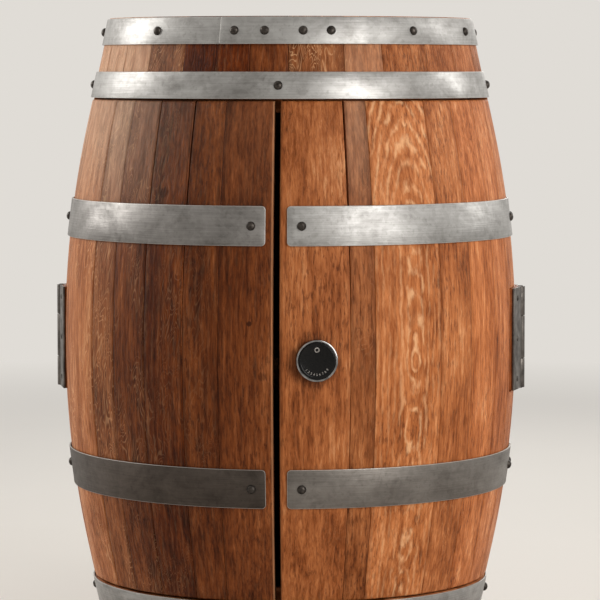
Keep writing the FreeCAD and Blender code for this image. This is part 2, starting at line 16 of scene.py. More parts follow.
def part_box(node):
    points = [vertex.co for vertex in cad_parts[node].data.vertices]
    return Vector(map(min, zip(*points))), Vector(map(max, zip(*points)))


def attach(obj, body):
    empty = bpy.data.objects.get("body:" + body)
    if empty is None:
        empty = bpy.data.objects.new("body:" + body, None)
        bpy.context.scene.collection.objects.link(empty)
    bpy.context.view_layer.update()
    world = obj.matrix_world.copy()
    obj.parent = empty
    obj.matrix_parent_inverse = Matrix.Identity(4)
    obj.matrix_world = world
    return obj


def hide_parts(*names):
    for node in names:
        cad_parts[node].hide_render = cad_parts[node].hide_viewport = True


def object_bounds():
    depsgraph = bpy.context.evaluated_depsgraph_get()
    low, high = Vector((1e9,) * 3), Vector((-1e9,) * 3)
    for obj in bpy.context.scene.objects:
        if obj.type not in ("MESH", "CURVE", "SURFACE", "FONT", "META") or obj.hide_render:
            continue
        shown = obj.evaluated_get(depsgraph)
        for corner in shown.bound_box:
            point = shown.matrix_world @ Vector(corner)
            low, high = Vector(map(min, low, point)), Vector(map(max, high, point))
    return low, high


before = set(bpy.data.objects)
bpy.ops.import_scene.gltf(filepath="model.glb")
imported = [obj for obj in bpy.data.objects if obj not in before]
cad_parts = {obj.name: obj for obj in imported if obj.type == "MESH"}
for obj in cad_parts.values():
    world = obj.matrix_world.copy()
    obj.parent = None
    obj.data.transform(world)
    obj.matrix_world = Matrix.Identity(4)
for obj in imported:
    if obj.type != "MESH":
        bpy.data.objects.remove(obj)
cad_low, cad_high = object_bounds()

scene = bpy.context.scene
scene.view_settings.view_transform = "Standard"
print("nodes in the packed model:", len(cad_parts))

# %% [markdown]
# ## Camera
#
# The picture was taken from about four and a half metres, from the height of a seated person's eyes and a
# few degrees to the right of the doors' gap. A long lens at that distance keeps the barrel's sides nearly
# straight. The lens is worked out from a focal length in pixels, because that is what a measurement in a
# picture gives, and the camera is turned slightly so that the barrel stands left of the middle.

# %% Camera
photo_pixels = 600
focal_pixels = 3128
camera_distance = 4.449
camera_height = 0.827
camera_azimuth = math.radians(3.39)
camera_pitch = math.radians(4.195)
aim_aside = 0.0141
up = Vector((0, 0, 1))

camera_back = Vector((math.sin(camera_azimuth), -math.cos(camera_azimuth), 0))
camera_right = Vector((math.cos(camera_azimuth), math.sin(camera_azimuth), 0))
camera_data = bpy.data.cameras.new("camera")
camera_data.lens = camera_data.sensor_width * focal_pixels / photo_pixels
camera = bpy.data.objects.new("camera", camera_data)
camera.location = camera_back * camera_distance + up * camera_height
aim = camera_right * aim_aside + up * (camera_height - camera_distance * math.tan(camera_pitch))
camera.rotation_euler = (aim - camera.location).to_track_quat("-Z", "Y").to_euler()
scene.collection.objects.link(camera)
scene.camera = camera
print("lens: %.0f mm" % camera_data.lens)

# %% [markdown]
# ## Finishes
#
# A finish is a material made of nodes. The same few kinds of node come back in every finish, so a small
# class holds the node tree and adds them by short calls: each call takes sockets or plain values and hands
# back the socket of its result. Colours are written as they look on a screen and turned into linear light.

# %% Colours
def paint(red, green, blue):
    """A screen colour, 0 to 255, as the linear colour that a shader works with."""
    linear = []
    for level in (red / 255, green / 255, blue / 255):
        linear.append(level / 12.92 if level <= 0.04045 else ((level + 0.055) / 1.055) ** 2.4)
    return (*linear, 1.0)


print("middle grey on a screen: %.2f in linear light" % paint(128, 128, 128)[0])


# %% A helper for finishes
class Finish:
    """The nodes of a material, or of the world, and short calls that add to them."""

    def __init__(self, owner):
        owner.use_nodes = True
        self.owner = owner
        self.tree = owner.node_tree
        self.shader = self.tree.nodes.get("Principled BSDF")

    def feed(self, socket, value):
        if isinstance(value, bpy.types.NodeSocket):
            self.tree.links.new(value, socket)
        else:
            socket.default_value = value

    def add(self, kind, inputs, **settings):
        made = self.tree.nodes.new("ShaderNode" + kind)
        for key, value in settings.items():
            setattr(made, key, value)
        for key, value in inputs.items():
            self.feed(made.inputs[key], value)
        return made

    def surface(self, **inputs):
        for key, value in inputs.items():
            self.feed(self.shader.inputs[key.replace("_", " ")], value)

    def attribute(self, name):
        return self.add("Attribute", {}, attribute_name=name).outputs["Vector"]

    def place(self):
        return self.add("TexCoord", {}).outputs["Object"]

    def axes(self, vector):
        parts = self.add("SeparateXYZ", {"Vector": vector}).outputs
        return parts["X"], parts["Y"], parts["Z"]

    def maths(self, operation, first, second=0.0, third=0.0):
        return self.add("Math", {0: first, 1: second, 2: third}, operation=operation).outputs[0]

    def times(self, first, second):
        return self.maths("MULTIPLY", first, second)

    def clouds(self, vector, scale, detail=3.0, roughness=0.5, distortion=0.0):
        """Noise of a different size along each axis, as a value about one half."""
        sized = self.add("VectorMath", {0: vector, 1: scale}, operation="MULTIPLY").outputs["Vector"]
        settings = {"Vector": sized, "Scale": 1.0, "Detail": detail, "Roughness": roughness,
                    "Distortion": distortion}
        return self.add("TexNoise", settings).outputs["Fac"]

    def spread(self, value, low, high, to_low=0.0, to_high=1.0):
        """Stretches a value from one range to another and cuts it off at the ends."""
        settings = {"Value": value, "From Min": low, "From Max": high, "To Min": to_low, "To Max": to_high}
        return self.add("MapRange", settings).outputs["Result"]

    def ramp(self, value, colours):
        """A row of screen colours at even steps."""
        made = self.add("ValToRGB", {"Fac": value})
        colours = [paint(*colour) for colour in colours]
        for number, colour in enumerate(colours[1:-1], 1):
            made.color_ramp.elements.new(number / (len(colours) - 1)).color = colour
        made.color_ramp.elements[0].color = colours[0]
        made.color_ramp.elements[-1].color = colours[-1]
        return made.outputs["Color"]

    def blend(self, share, first, second, way="MIX"):
        made = self.add("Mix", {0: share, 6: first, 7: second}, data_type="RGBA", blend_type=way)
        return made.outputs[2]

    def relief(self, height, depth, strength):
        settings = {"Height": height, "Distance": depth, "Strength": strength}
        self.feed(self.shader.inputs["Normal"], self.add("Bump", settings).outputs["Normal"])

    def looked_at(self):
        """1 where the camera, a shiny surface or glass looks straight this way, and 0 elsewhere."""
        ray = self.add("LightPath", {}).outputs
        seen = self.maths("MAXIMUM", ray["Is Camera Ray"], ray["Is Glossy Ray"])
        return self.maths("MAXIMUM", seen, ray["Is Transmission Ray"])

    def show(self, share, first, second, output):
        """Sends a mix of two shaders to the output node."""
        mixed = self.add("MixShader", {0: share, 1: first, 2: second}).outputs["Shader"]
        self.feed(self.tree.nodes[output].inputs["Surface"], mixed)


print("finish helper ready")

# %% [markdown]
# ## Studio
#
# The cabinet stands on a plain pale floor under soft light. Two large soft boxes do most of it: one in
# front on the right, which is the brighter side, and a narrower one far round on the left that puts a
# bright edge on the hoops. Two weaker ones reach the right side and the back. All four hang low and far
# off, so that they light the upright wood more than the floor, and hardly any of the pale floor turns to
# plain white. The world adds an even fill. Where the camera or a shiny surface looks straight at the world
# it sees a pale backdrop instead of that fill, so the background is pale without more light on the wood.
# The floor keeps the cabinet's shadow near its foot and fades into the same pale colour further off.

# %% Floor
floor_reach = 60.0
floor_cells = 8
fade_start = 1.0
fade_end = 4.5
backdrop_colour = paint(224, 220, 214)
floor_bm = bmesh.new()
bmesh.ops.create_grid(floor_bm, x_segments=floor_cells, y_segments=floor_cells, size=floor_reach)
floor_mesh = bpy.data.meshes.new("floor")
floor_bm.to_mesh(floor_mesh)
floor_bm.free()
floor = bpy.data.objects.new("floor", floor_mesh)
scene.collection.objects.link(floor)

floor_finish = Finish(bpy.data.materials.new("pale_floor"))
floor_place = floor_finish.place()
floor_cloud = floor_finish.clouds(floor_place, (1.5, 1.5, 1.5), 5)
floor_finish.surface(
    Base_Color=floor_finish.blend(floor_cloud, paint(226, 221, 214), paint(236, 232, 226)),
    Roughness=floor_finish.spread(floor_cloud, 0.3, 0.7, 0.6, 0.75))
far_off = floor_finish.add("VectorMath", {0: floor_place}, operation="LENGTH").outputs["Value"]
far_off = floor_finish.spread(far_off, fade_start, fade_end)
glow = floor_finish.add("Emission", {"Color": backdrop_colour}).outputs["Emission"]
paled = floor_finish.times(floor_finish.looked_at(), far_off)
floor_finish.show(paled, floor_finish.shader.outputs["BSDF"], glow, "Material Output")
floor_mesh.materials.append(floor_finish.owner)
print("floor:", 2 * floor_reach, "m across")

# %% World
fill_colour = paint(255, 252, 248)
fill_level = 0.28
world = bpy.data.worlds.new("studio")
scene.world = world
sky = Finish(world)
fill = sky.tree.nodes["Background"]
sky.feed(fill.inputs["Color"], fill_colour)
sky.feed(fill.inputs["Strength"], fill_level)
backdrop = sky.add("Background", {"Color": backdrop_colour})
sky.show(sky.looked_at(), fill.outputs["Background"], backdrop.outputs["Background"], "World Output")
print("world fill:", fill_level)

# %% Soft boxes
barrel_height = cad_high.z
mid_height = barrel_height / 2
lamp_colour = paint(255, 253, 250)


def soft_box(name, place, width, height, watts):
    light = bpy.data.lights.new(name, "AREA")
    light.shape = "RECTANGLE"
    light.size = width
    light.size_y = height
    light.energy = watts
    light.color = lamp_colour[:3]
    lamp = bpy.data.objects.new(name, light)
    lamp.location = place
    lamp.rotation_euler = (up * mid_height - lamp.location).to_track_quat("-Z", "Y").to_euler()
    scene.collection.objects.link(lamp)
    print(name, "at", place)


soft_box("key_light", (2.0, -2.1, 1.4), 1.6, 1.9, 54)
soft_box("left_light", (-2.3, 0.45, 1.55), 1.1, 1.7, 39)
soft_box("right_light", (2.4, 0.95, 1.5), 1.0, 1.5, 18)
soft_box("back_light", (0.3, 2.8, 1.6), 1.8, 1.2, 20)

# %% [markdown]
# ## Oak
#
# Barrel oak is split along its rays and then stained by years of use. Three things show from a step away:
# fine fibres and pores along the stave, broad streaks of lighter and darker wood, and the growth rings. On
# most staves the rings run straight, but one stave on the right door and two at the back were cut near the
# heart of the log, and there they close into ovals and arches. The rings are worked out the way a tree
# makes them, as the distance from a heart line that comes nearer and then further along the stave, so one
# finish serves both kinds. A few dark spots are set: the stain round the lock, which also holds a painted
# shadow, a nail hole and two marks.
#
# Each stave carries its own notes on its vertices. "grain" says how far across, along and deep in the wood
# a point is, "tone" how light, red and figured the stave is, "marks" how much ray fleck, pale edge and seam
# dirt it has, where the pale edge is partly wear and partly a painted highlight, and a fourth note how much
# painted sheen lies on the upper part of the stave.

# %% Rings of the log
heart_depth = 0.012
heart_sway = 0.06
arch_depth = 0.055
arch_shows = 0.62, 0.70
arch_rises = 0.64, 0.80


def from_the_heart(made, grain, figure):
    """How far a point is from the heart of the log, and how clearly the figure shows there."""
    across, _, _ = made.axes(grain)
    _, _, height = made.axes(made.place())
    wander = made.maths("SUBTRACT", made.clouds(grain, (11, 3, 11), 2), 0.5)
    aside = made.maths("MULTIPLY_ADD", wander, 0.014, across)
    near = made.spread(made.maths("ABSOLUTE", aside), 0.002, 0.030, 1, 0)
    arched = made.times(made.spread(height, *arch_shows), made.maths("POWER", figure, 3))
    sway = made.maths("SUBTRACT", made.clouds(grain, (2, 17, 2), 1), 0.5)
    sway = made.times(made.times(sway, figure), near)
    sway = made.times(sway, made.spread(arched, 0, 1, 1, 0.25))
    arch = made.times(made.spread(height, *arch_rises, 0, arch_depth), made.maths("POWER", figure, 3))
    depth = made.maths("MULTIPLY_ADD", sway, heart_sway, made.maths("ADD", arch, heart_depth))
    squares = made.maths("MULTIPLY_ADD", aside, aside, made.times(depth, depth))
    ragged = made.clouds(grain, (85, 30, 85), 4, 0.62)
    distance = made.maths("MULTIPLY_ADD", ragged, 0.011, made.maths("SQRT", squares))
    return distance, made.maths("MAXIMUM", near, made.times(arched, 0.8))


print("arches rise from %.2f to %.2f m" % arch_rises)

# %% Oak finish
ring_spacing = 0.0056
arch_spacing = 0.0088
oak_specular = 0.1
# The colour of the painted sheen on the upper part of some staves.
painted_sheen_colour = paint(226, 190, 160)
red_shade = (1.0, 0.80, 0.66, 1)
pore_shade = (0.42, 0.36, 0.33, 1)
ring_shade = (0.55, 0.45, 0.38, 1)
grime_shade = (0.20, 0.13, 0.09, 1)
spot_shade = (0.16, 0.11, 0.08, 1)


def oak(name, dark_wood, light_wood, pale_wood, roughness, spots=()):
    """An oak finish. spots are dark marks, each a point, its reach and how dark it is.
    The mark round the lock is partly a stain and partly a painted shadow.
    """
    made = Finish(bpy.data.materials.new(name))
    grain = made.attribute("grain")
    light, red, figure = made.axes(made.attribute("tone"))
    fleck, worn_and_highlit_edge, dirt = made.axes(made.attribute("marks"))
    from_heart, shown = from_the_heart(made, grain, figure)
    ring = made.maths("FRACT", made.maths("DIVIDE", from_heart, ring_spacing))
    wide_ring = made.maths("FRACT", made.maths("DIVIDE", from_heart, arch_spacing))

    fibres = made.spread(made.clouds(grain, (300, 38, 300), 4, 0.65, 0.25), 0.34, 0.66)
    streaks = made.spread(made.clouds(grain, (100, 8, 100), 3, 0.6), 0.34, 0.66)
    patches = made.spread(made.clouds(grain, (20, 6, 20), 3), 0.34, 0.66)
    open_grain = made.spread(made.clouds(grain, (12, 3, 12), 2), 0.40, 0.60, 0.3, 1.0)
    pores = made.spread(made.clouds(grain, (330, 62, 330), 3, 0.6, 0.3), 0.47, 0.37)
    pores = made.times(pores, open_grain)
    value = made.maths("MULTIPLY_ADD", patches, 0.34, made.times(streaks, 0.32))
    value = made.maths("MULTIPLY_ADD", fibres, 0.34, value)

    colour = made.blend(light, made.ramp(value, dark_wood), made.ramp(value, light_wood))
    colour = made.blend(red, colour, red_shade, "MULTIPLY")
    colour = made.blend(made.times(pores, 0.8), colour, pore_shade, "MULTIPLY")
    band = made.times(made.spread(ring, 0.5, 1.0), made.spread(streaks, 0, 1, 0.5, 0.2))
    colour = made.blend(band, colour, ring_shade, "MULTIPLY")
    crest = made.spread(made.maths("PINGPONG", wide_ring, 0.5), 0.20, 0.46)
    gaps = made.spread(made.clouds(grain, (110, 45, 110), 3), 0.40, 0.60, 0.05, 0.70)
    broken = made.times(made.times(crest, gaps), made.spread(shown, 0, 1, 0.3, 1.0))
    colour = made.blend(made.times(broken, figure), colour, pale_wood)
    across, along, deep = made.axes(grain)
    slanted = made.add("CombineXYZ", {
        0: made.maths("MULTIPLY_ADD", along, -0.16, across), 1: along, 2: deep}).outputs[0]
    contour = made.times(made.clouds(slanted, (46, 11, 46), 2, 0.5, 0.8), 17)
    curl = made.spread(made.maths("PINGPONG", contour, 0.5), 0.32, 0.47)
    curl = made.times(curl, made.spread(made.clouds(grain, (24, 9, 24), 2), 0.42, 0.60))
    colour = made.blend(made.times(curl, fleck), colour, pale_wood)
    # Painted sheen: the upper part of some staves is blended towards a pale colour, as a lamp's sheen.
    paled = made.times(made.axes(made.attribute("paled"))[0], made.spread(streaks, 0, 1, 0.55, 1.0))
    colour = made.blend(paled, colour, painted_sheen_colour)
    grime = made.times(dirt, made.spread(made.clouds(grain, (60, 9, 60), 2), 0.25, 0.60))
    colour = made.blend(grime, colour, grime_shade, "MULTIPLY")
    # Dark spots: a nail hole and marks, and round the lock a stain with a painted shadow.
    for point, reach, strength in spots:
        far = made.add("VectorMath", {0: made.place(), 1: point}, operation="DISTANCE").outputs["Value"]
        far = made.maths("MULTIPLY_ADD", fibres, reach * 0.3, far)
        mark = made.times(made.spread(far, reach, reach * 0.72), strength)
        colour = made.blend(mark, colour, spot_shade, "MULTIPLY")
    # Pale stave edges: partly wear, partly a painted highlight.
    colour = made.blend(worn_and_highlit_edge, colour, pale_wood)

    made.surface(
        Base_Color=colour, Roughness=made.spread(value, 0.2, 0.8, roughness + 0.08, roughness - 0.08),
        Specular_IOR_Level=oak_specular)
    height = made.maths("MULTIPLY_ADD", pores, -0.8, fibres)
    made.relief(made.maths("MULTIPLY_ADD", crest, 0.2, height), 0.0006, 0.6)
    return made.owner


print("wide growth rings: %.1f mm apart" % (arch_spacing * 1000))

# %% Three kinds of oak
# The lock's mark is partly a stain and partly a painted shadow round the lock.
lock_stain_and_shadow = (0.0500, -0.3140, 0.440), 0.047, 0.55
nail_hole = (-0.0357, -0.3186, 0.492), 0.005, 0.8
lower_mark = (-0.0185, -0.3198, 0.422), 0.008, 0.5
upper_mark = (-0.1550, -0.2630, 0.664), 0.010, 0.6
stave_oak = oak(
    "stave_oak",
    ((28, 9, 2), (72, 29, 7), (108, 51, 15), (152, 84, 38)),
    ((108, 51, 20), (171, 98, 50), (212, 134, 80), (240, 180, 128)),
    paint(242, 188, 138), 0.46, (lock_stain_and_shadow, nail_hole, lower_mark, upper_mark))
head_oak = oak(
    "head_oak",
    ((66, 36, 20), (108, 66, 40), (140, 90, 58), (166, 116, 80)),
    ((116, 70, 40), (160, 106, 66), (186, 134, 90), (206, 160, 116)),
    paint(214, 172, 128), 0.52)
inner_oak = oak(
    "inner_oak",
    ((84, 48, 26), (128, 80, 46), (156, 104, 64), (180, 130, 86)),
    ((138, 88, 50), (182, 128, 80), (204, 152, 102), (220, 176, 128)),
    paint(226, 188, 142), 0.5)
print("oak finishes: stave_oak, head_oak, inner_oak")

# %% [markdown]
# ## Steel, chrome and black
#
# The hoops are strip steel with a skin of zinc. It is bright where the zinc was scuffed and grey where it
# has weathered, with fine scratches that run round the barrel. Its rims are painted paler, partly as wear
# and partly as a painted highlight, and a note on the vertices marks them. The left and lower straps get
# the same finish with darker colours, a painted shade, and so do the rear hoops.
# Rivets and hinges are bare dark steel, the lock's rim is chrome, and its dial is black and glossy.

# %% Metal finishes
def zinc(name, bright, dull, stain, roughness):
    made = Finish(bpy.data.materials.new(name))
    place = made.place()
    cloud = made.spread(made.clouds(place, (12, 12, 20), 5, 0.6, 0.5), 0.30, 0.70)
    crystals = made.add("TexVoronoi", {"Vector": place, "Scale": 160.0}).outputs["Color"]
    crystal, _, _ = made.axes(crystals)
    scratches = made.spread(made.clouds(place, (14, 14, 700), 3), 0.38, 0.62)
    specks = made.spread(made.clouds(place, (190, 190, 190), 3), 0.58, 0.72)
    smudges = made.spread(made.clouds(place, (34, 34, 44), 4, 0.6), 0.54, 0.72)
    value = made.maths("MULTIPLY_ADD", crystal, 0.14, made.times(cloud, 0.72))
    value = made.maths("MULTIPLY_ADD", scratches, 0.14, value)
    colour = made.blend(value, dull, bright)
    colour = made.blend(made.times(specks, 0.22), colour, stain)
    colour = made.blend(made.times(smudges, 0.28), colour, stain)
    # Painted highlight and wear: the rims are blended towards a pale zinc colour.
    wear_and_highlight, _, _ = made.axes(made.attribute("wear_and_highlight"))
    colour = made.blend(made.times(wear_and_highlight, 0.7), colour, paint(206, 203, 198))
    made.surface(
        Base_Color=colour, Metallic=0.9, Roughness=made.spread(value, 0.2, 0.8, roughness + 0.1, roughness))
    made.relief(made.maths("MULTIPLY_ADD", cloud, 3.0, scratches), 0.00012, 0.5)
    return made.owner


def plain_metal(name, low, high, metallic, roughness, grain_size, specular=0.5):
    made = Finish(bpy.data.materials.new(name))
    place = made.place()
    value = made.spread(made.clouds(place, (grain_size, grain_size, grain_size), 4, 0.6), 0.35, 0.68)
    made.surface(
        Base_Color=made.blend(value, low, high), Metallic=metallic, Specular_IOR_Level=specular,
        Roughness=made.spread(value, 0.0, 1.0, roughness * 1.35, roughness * 0.8))
    made.relief(value, 0.0001, 0.4)
    return made.owner


# One zinc: the brightest finish is the lit zinc, and the three darker copies are painted shade and painted
# darker reflections.
bright_zinc = zinc("bright_zinc", paint(178, 177, 175), paint(116, 114, 111), paint(72, 67, 62), 0.40)
half_shaded_zinc = zinc("half_shaded_zinc", paint(152, 149, 146), paint(90, 87, 84), paint(60, 54, 48), 0.40)
shaded_zinc = zinc("shaded_zinc", paint(134, 129, 124), paint(90, 85, 80), paint(52, 45, 40), 0.42)
deep_shaded_zinc = zinc("deep_shaded_zinc", paint(88, 80, 74), paint(52, 46, 41), paint(30, 24, 20), 0.44)
dark_steel = plain_metal("dark_steel", paint(36, 32, 29), paint(78, 72, 67), 0.85, 0.36, 160)
worn_steel = plain_metal("worn_steel", paint(66, 62, 59), paint(104, 99, 94), 0.85, 0.42, 60)
chrome = plain_metal("chrome", paint(96, 95, 94), paint(158, 157, 156), 1.0, 0.16, 110)
black_gloss = plain_metal("black_gloss", paint(8, 8, 8), paint(19, 18, 17), 0.0, 0.18, 300, 0.16)
number_paint = plain_metal("number_paint", paint(120, 114, 108), paint(176, 170, 164), 0.0, 0.45, 400)
print("metals: 4 of zinc, 2 of steel, chrome, black and the dial's paint")

# %% [markdown]
# ## The bow of a stave
#
# A barrel is widest at the middle, the bilge. The outside of a stave follows one long arc there and runs
# straight near its ends. One function gives the outside radius at any height, and everything that touches
# the wood asks it: the staves themselves, the hoops that sit on them and the rivets that sit on the hoops.

# %% Barrel sizes
bilge_radius = 0.3206
bow_radius = 1.400
bow_half_height = 0.301
bow_taper = math.tan(math.asin(bow_half_height / bow_radius))
stave_thickness = 0.026


def outside(height):
    """The outside radius of the wood at a height."""
    from_middle = abs(height - mid_height)
    on_bow = min(from_middle, bow_half_height)
    bow = bilge_radius - bow_radius + math.sqrt(bow_radius ** 2 - on_bow ** 2)
    return bow - (from_middle - on_bow) * bow_taper


def around(angle, radius, height):
    """A point on the barrel: the angle in degrees runs to the right from the middle of the front."""
    turn = math.radians(angle)
    return Vector((radius * math.sin(turn), -radius * math.cos(turn), height))


def angle_of(length):
    """The angle in degrees that a length takes up round the bilge."""
    return math.degrees(length / bilge_radius)


def heights(node):
    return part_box(node)[0].z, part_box(node)[1].z


def evenly(low, high, cuts):
    return [low + (high - low) * number / cuts for number in range(cuts + 1)]


print("end radius: %.3f m" % outside(0))

# %% [markdown]
# ## Putting a piece into the scene
#
# Every piece ends the same way. Its mesh is smoothed except at real edges, it gets its finish, and it is
# tied to the body of the imported model that carries it. The piece also says
# which node it stands for, because that node is then hidden. A few small steps come back in many pieces and
# get short names too: a plain box, rounded edges, new edges along a plane, layers for notes, a smooth rise,
# and numbered grain, so that no two boards show the same part of the log.

# %% A helper that finishes a piece
sharp_edge = math.radians(38)


def set_up(name, bm, body, finish, slot, *stands_for):
    mesh = bpy.data.meshes.new(name)
    bm.to_mesh(mesh)
    bm.free()
    mesh.materials.append(finish)
    mesh.shade_smooth()
    mesh.set_sharp_from_angle(angle=sharp_edge)
    piece = bpy.data.objects.new(name, mesh)
    scene.collection.objects.link(piece)
    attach(piece, body)
    if stands_for:
        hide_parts(*stands_for)
    print("%s: %d faces, on %s" % (name, len(mesh.polygons), body))
    return piece


def gather(whole, part):
    """Adds a finished bmesh to a larger one."""
    carrier = bpy.data.meshes.new("carrier")
    part.to_mesh(carrier)
    part.free()
    whole.from_mesh(carrier)
    bpy.data.meshes.remove(carrier)


print("pieces can be set up")

# %% Helpers for meshes
grain_step_along = 1.37
grain_step_deep = 0.71


def block(size, place):
    """A plain box of a size about a place."""
    bm = bmesh.new()
    bmesh.ops.create_cube(bm, size=1)
    bmesh.ops.scale(bm, vec=size, verts=bm.verts)
    bmesh.ops.translate(bm, vec=place, verts=bm.verts)
    return bm


def round_off(bm, edges, size, segments=2, **settings):
    bmesh.ops.bevel(
        bm, geom=edges, offset=size, segments=segments, profile=0.5, affect="EDGES", material=-1,
        **settings)


def cut_across(bm, place, normal):
    """Cuts new edges into a mesh along a plane."""
    bmesh.ops.bisect_plane(
        bm, geom=bm.verts[:] + bm.edges[:] + bm.faces[:], dist=1e-7, plane_co=place, plane_no=normal)


def note_layers(bm, *names):
    return [bm.verts.layers.float_vector.new(name) for name in names]


def grain_note(across, along, deep, number):
    return across, along + number * grain_step_along, deep + number * grain_step_deep


def rising(value, low, high):
    """A smooth share: 0 below one value and 1 above another."""
    share = min(1, max(0, (value - low) / (high - low)))
    return share * share * (3 - 2 * share)


print("mesh helpers ready")

# %% [markdown]
# ## Staves
#
# A stave is one outline carried round the barrel's axis: up the outside, over the end, and down the inside.
# The spin operator does that, so neighbouring staves meet on planes through the axis, as a cooper planes
# them. Then the two long edges on the outside are eased with a bevel, which makes the seams read as dark
# lines, and the ends that were sawn for the doors are rounded further. On the inside neighbours touch, so
# no light comes through. A real stave is planed flatter than the barrel is round and stands a hair proud of
# its neighbours or below them, and these small differences make each stave catch the light in its own way.
# A few seams have opened towards the top, and some staves carry a painted sheen there.

# %% Stave outline
chime_land = 0.017
chime_bevel = 0.024
croze_offset = 0.040
croze_depth = 0.005
croze_width = 0.0096
outer_cuts = 32
inner_cuts = 10


def inside(height):
    return outside(height) - stave_thickness


def top_end():
    """The upper end of a stave: a flat land, a bevel, and the groove that holds the head."""
    groove_top = barrel_height - croze_offset
    groove_low = groove_top - croze_width
    bevel_foot = barrel_height - chime_bevel
    return [
        (outside(barrel_height) - chime_land, barrel_height), (inside(bevel_foot), bevel_foot),
        (inside(groove_top), groove_top), (inside(groove_top) + croze_depth, groove_top),
        (inside(groove_low) + croze_depth, groove_low), (inside(groove_low), groove_low)]


def stave_outline(low, high):
    outer = [(outside(height), height) for height in evenly(low, high, outer_cuts)]
    above = top_end() if high > barrel_height - chime_bevel else []
    below = []
    if low < chime_bevel:
        below = [(radius, barrel_height - height) for radius, height in reversed(top_end())]
    inner_high = above[-1][1] - croze_width if above else high
    inner_low = below[0][1] + croze_width if below else low
    inner = [(inside(height), height) for height in reversed(evenly(inner_low, inner_high, inner_cuts))]
    return outer + above + inner + below


print("points in a whole stave's outline:", len(stave_outline(0, barrel_height)))

# %% Edges and flats of a stave
seam = 0.0005
eased_edge = 0.0011
eased_end = 0.0028
hinge_block_low, hinge_block_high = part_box("right_hinge_door_block")
flat_margin = 0.001
flat_reach = hinge_block_low.x
flat_low = hinge_block_low.z - flat_margin
flat_high = hinge_block_high.z + flat_margin
flat_shoulder = 0.0003
half_seam = angle_of(seam / 2)


def seat_on_flat(bm):
    """Planes the flat on which a hinge's block stands into a stave at the side of the barrel."""
    if max(abs(vert.co.x) for vert in bm.verts) < flat_reach:
        return
    for height in (flat_low - flat_shoulder, flat_low, flat_high, flat_high + flat_shoulder):
        cut_across(bm, up * height, up)
    for side in (-1, 1):
        cut_across(bm, (side * flat_reach, 0, 0), (1, 0, 0))
    for vert in bm.verts:
        if abs(vert.co.x) > flat_reach and flat_low - 1e-6 < vert.co.z < flat_high + 1e-6:
            vert.co.x = math.copysign(flat_reach, vert.co.x)


def end_edges(bm, outline):
    """The outer edges of a stave's sawn ends, where it was cut for the doors."""
    sawn_ends = [height for _, height in outline if chime_bevel < height < barrel_height - chime_bevel]
    found = []
    for edge in bm.edges:
        first, second = (end.co for end in edge.verts)
        level = abs(first.z - second.z) < 1e-6 and (first.xy - second.xy).length > 1e-4
        at_end = any(abs(first.z - end) < 1e-6 for end in (min(sawn_ends), max(sawn_ends)))
        if level and at_end and all(end.xy.length > outside(end.z) - 1e-4 for end in (first, second)):
            found.append(edge)
    return found


def side_edges(bm, angle):
    """The long edges on the outside of a stave, on the upright plane at an angle."""
    across = around(angle + 90, 1, 0)
    found = []
    for edge in bm.edges:
        ends = [end.co for end in edge.verts]
        flush = all(abs(end.dot(across)) < 1e-5 for end in ends)
        if flush and all(end.xy.length > outside(end.z) - 0.001 for end in ends):
            found.append(edge)
    return found


print("flats for the hinge blocks: %.0f mm from the middle" % (flat_reach * 1000))

# %% Stave builder
stave_step = 1.1
most_proud = 0.00035
flatness = 0.0005
seam_dirt_reach = 0.006
gape_reach = 0.012
gape_heights = 0.47, 0.72
# Heights over which the painted sheen grows on a stave.
painted_sheen_heights = 0.56, 0.78


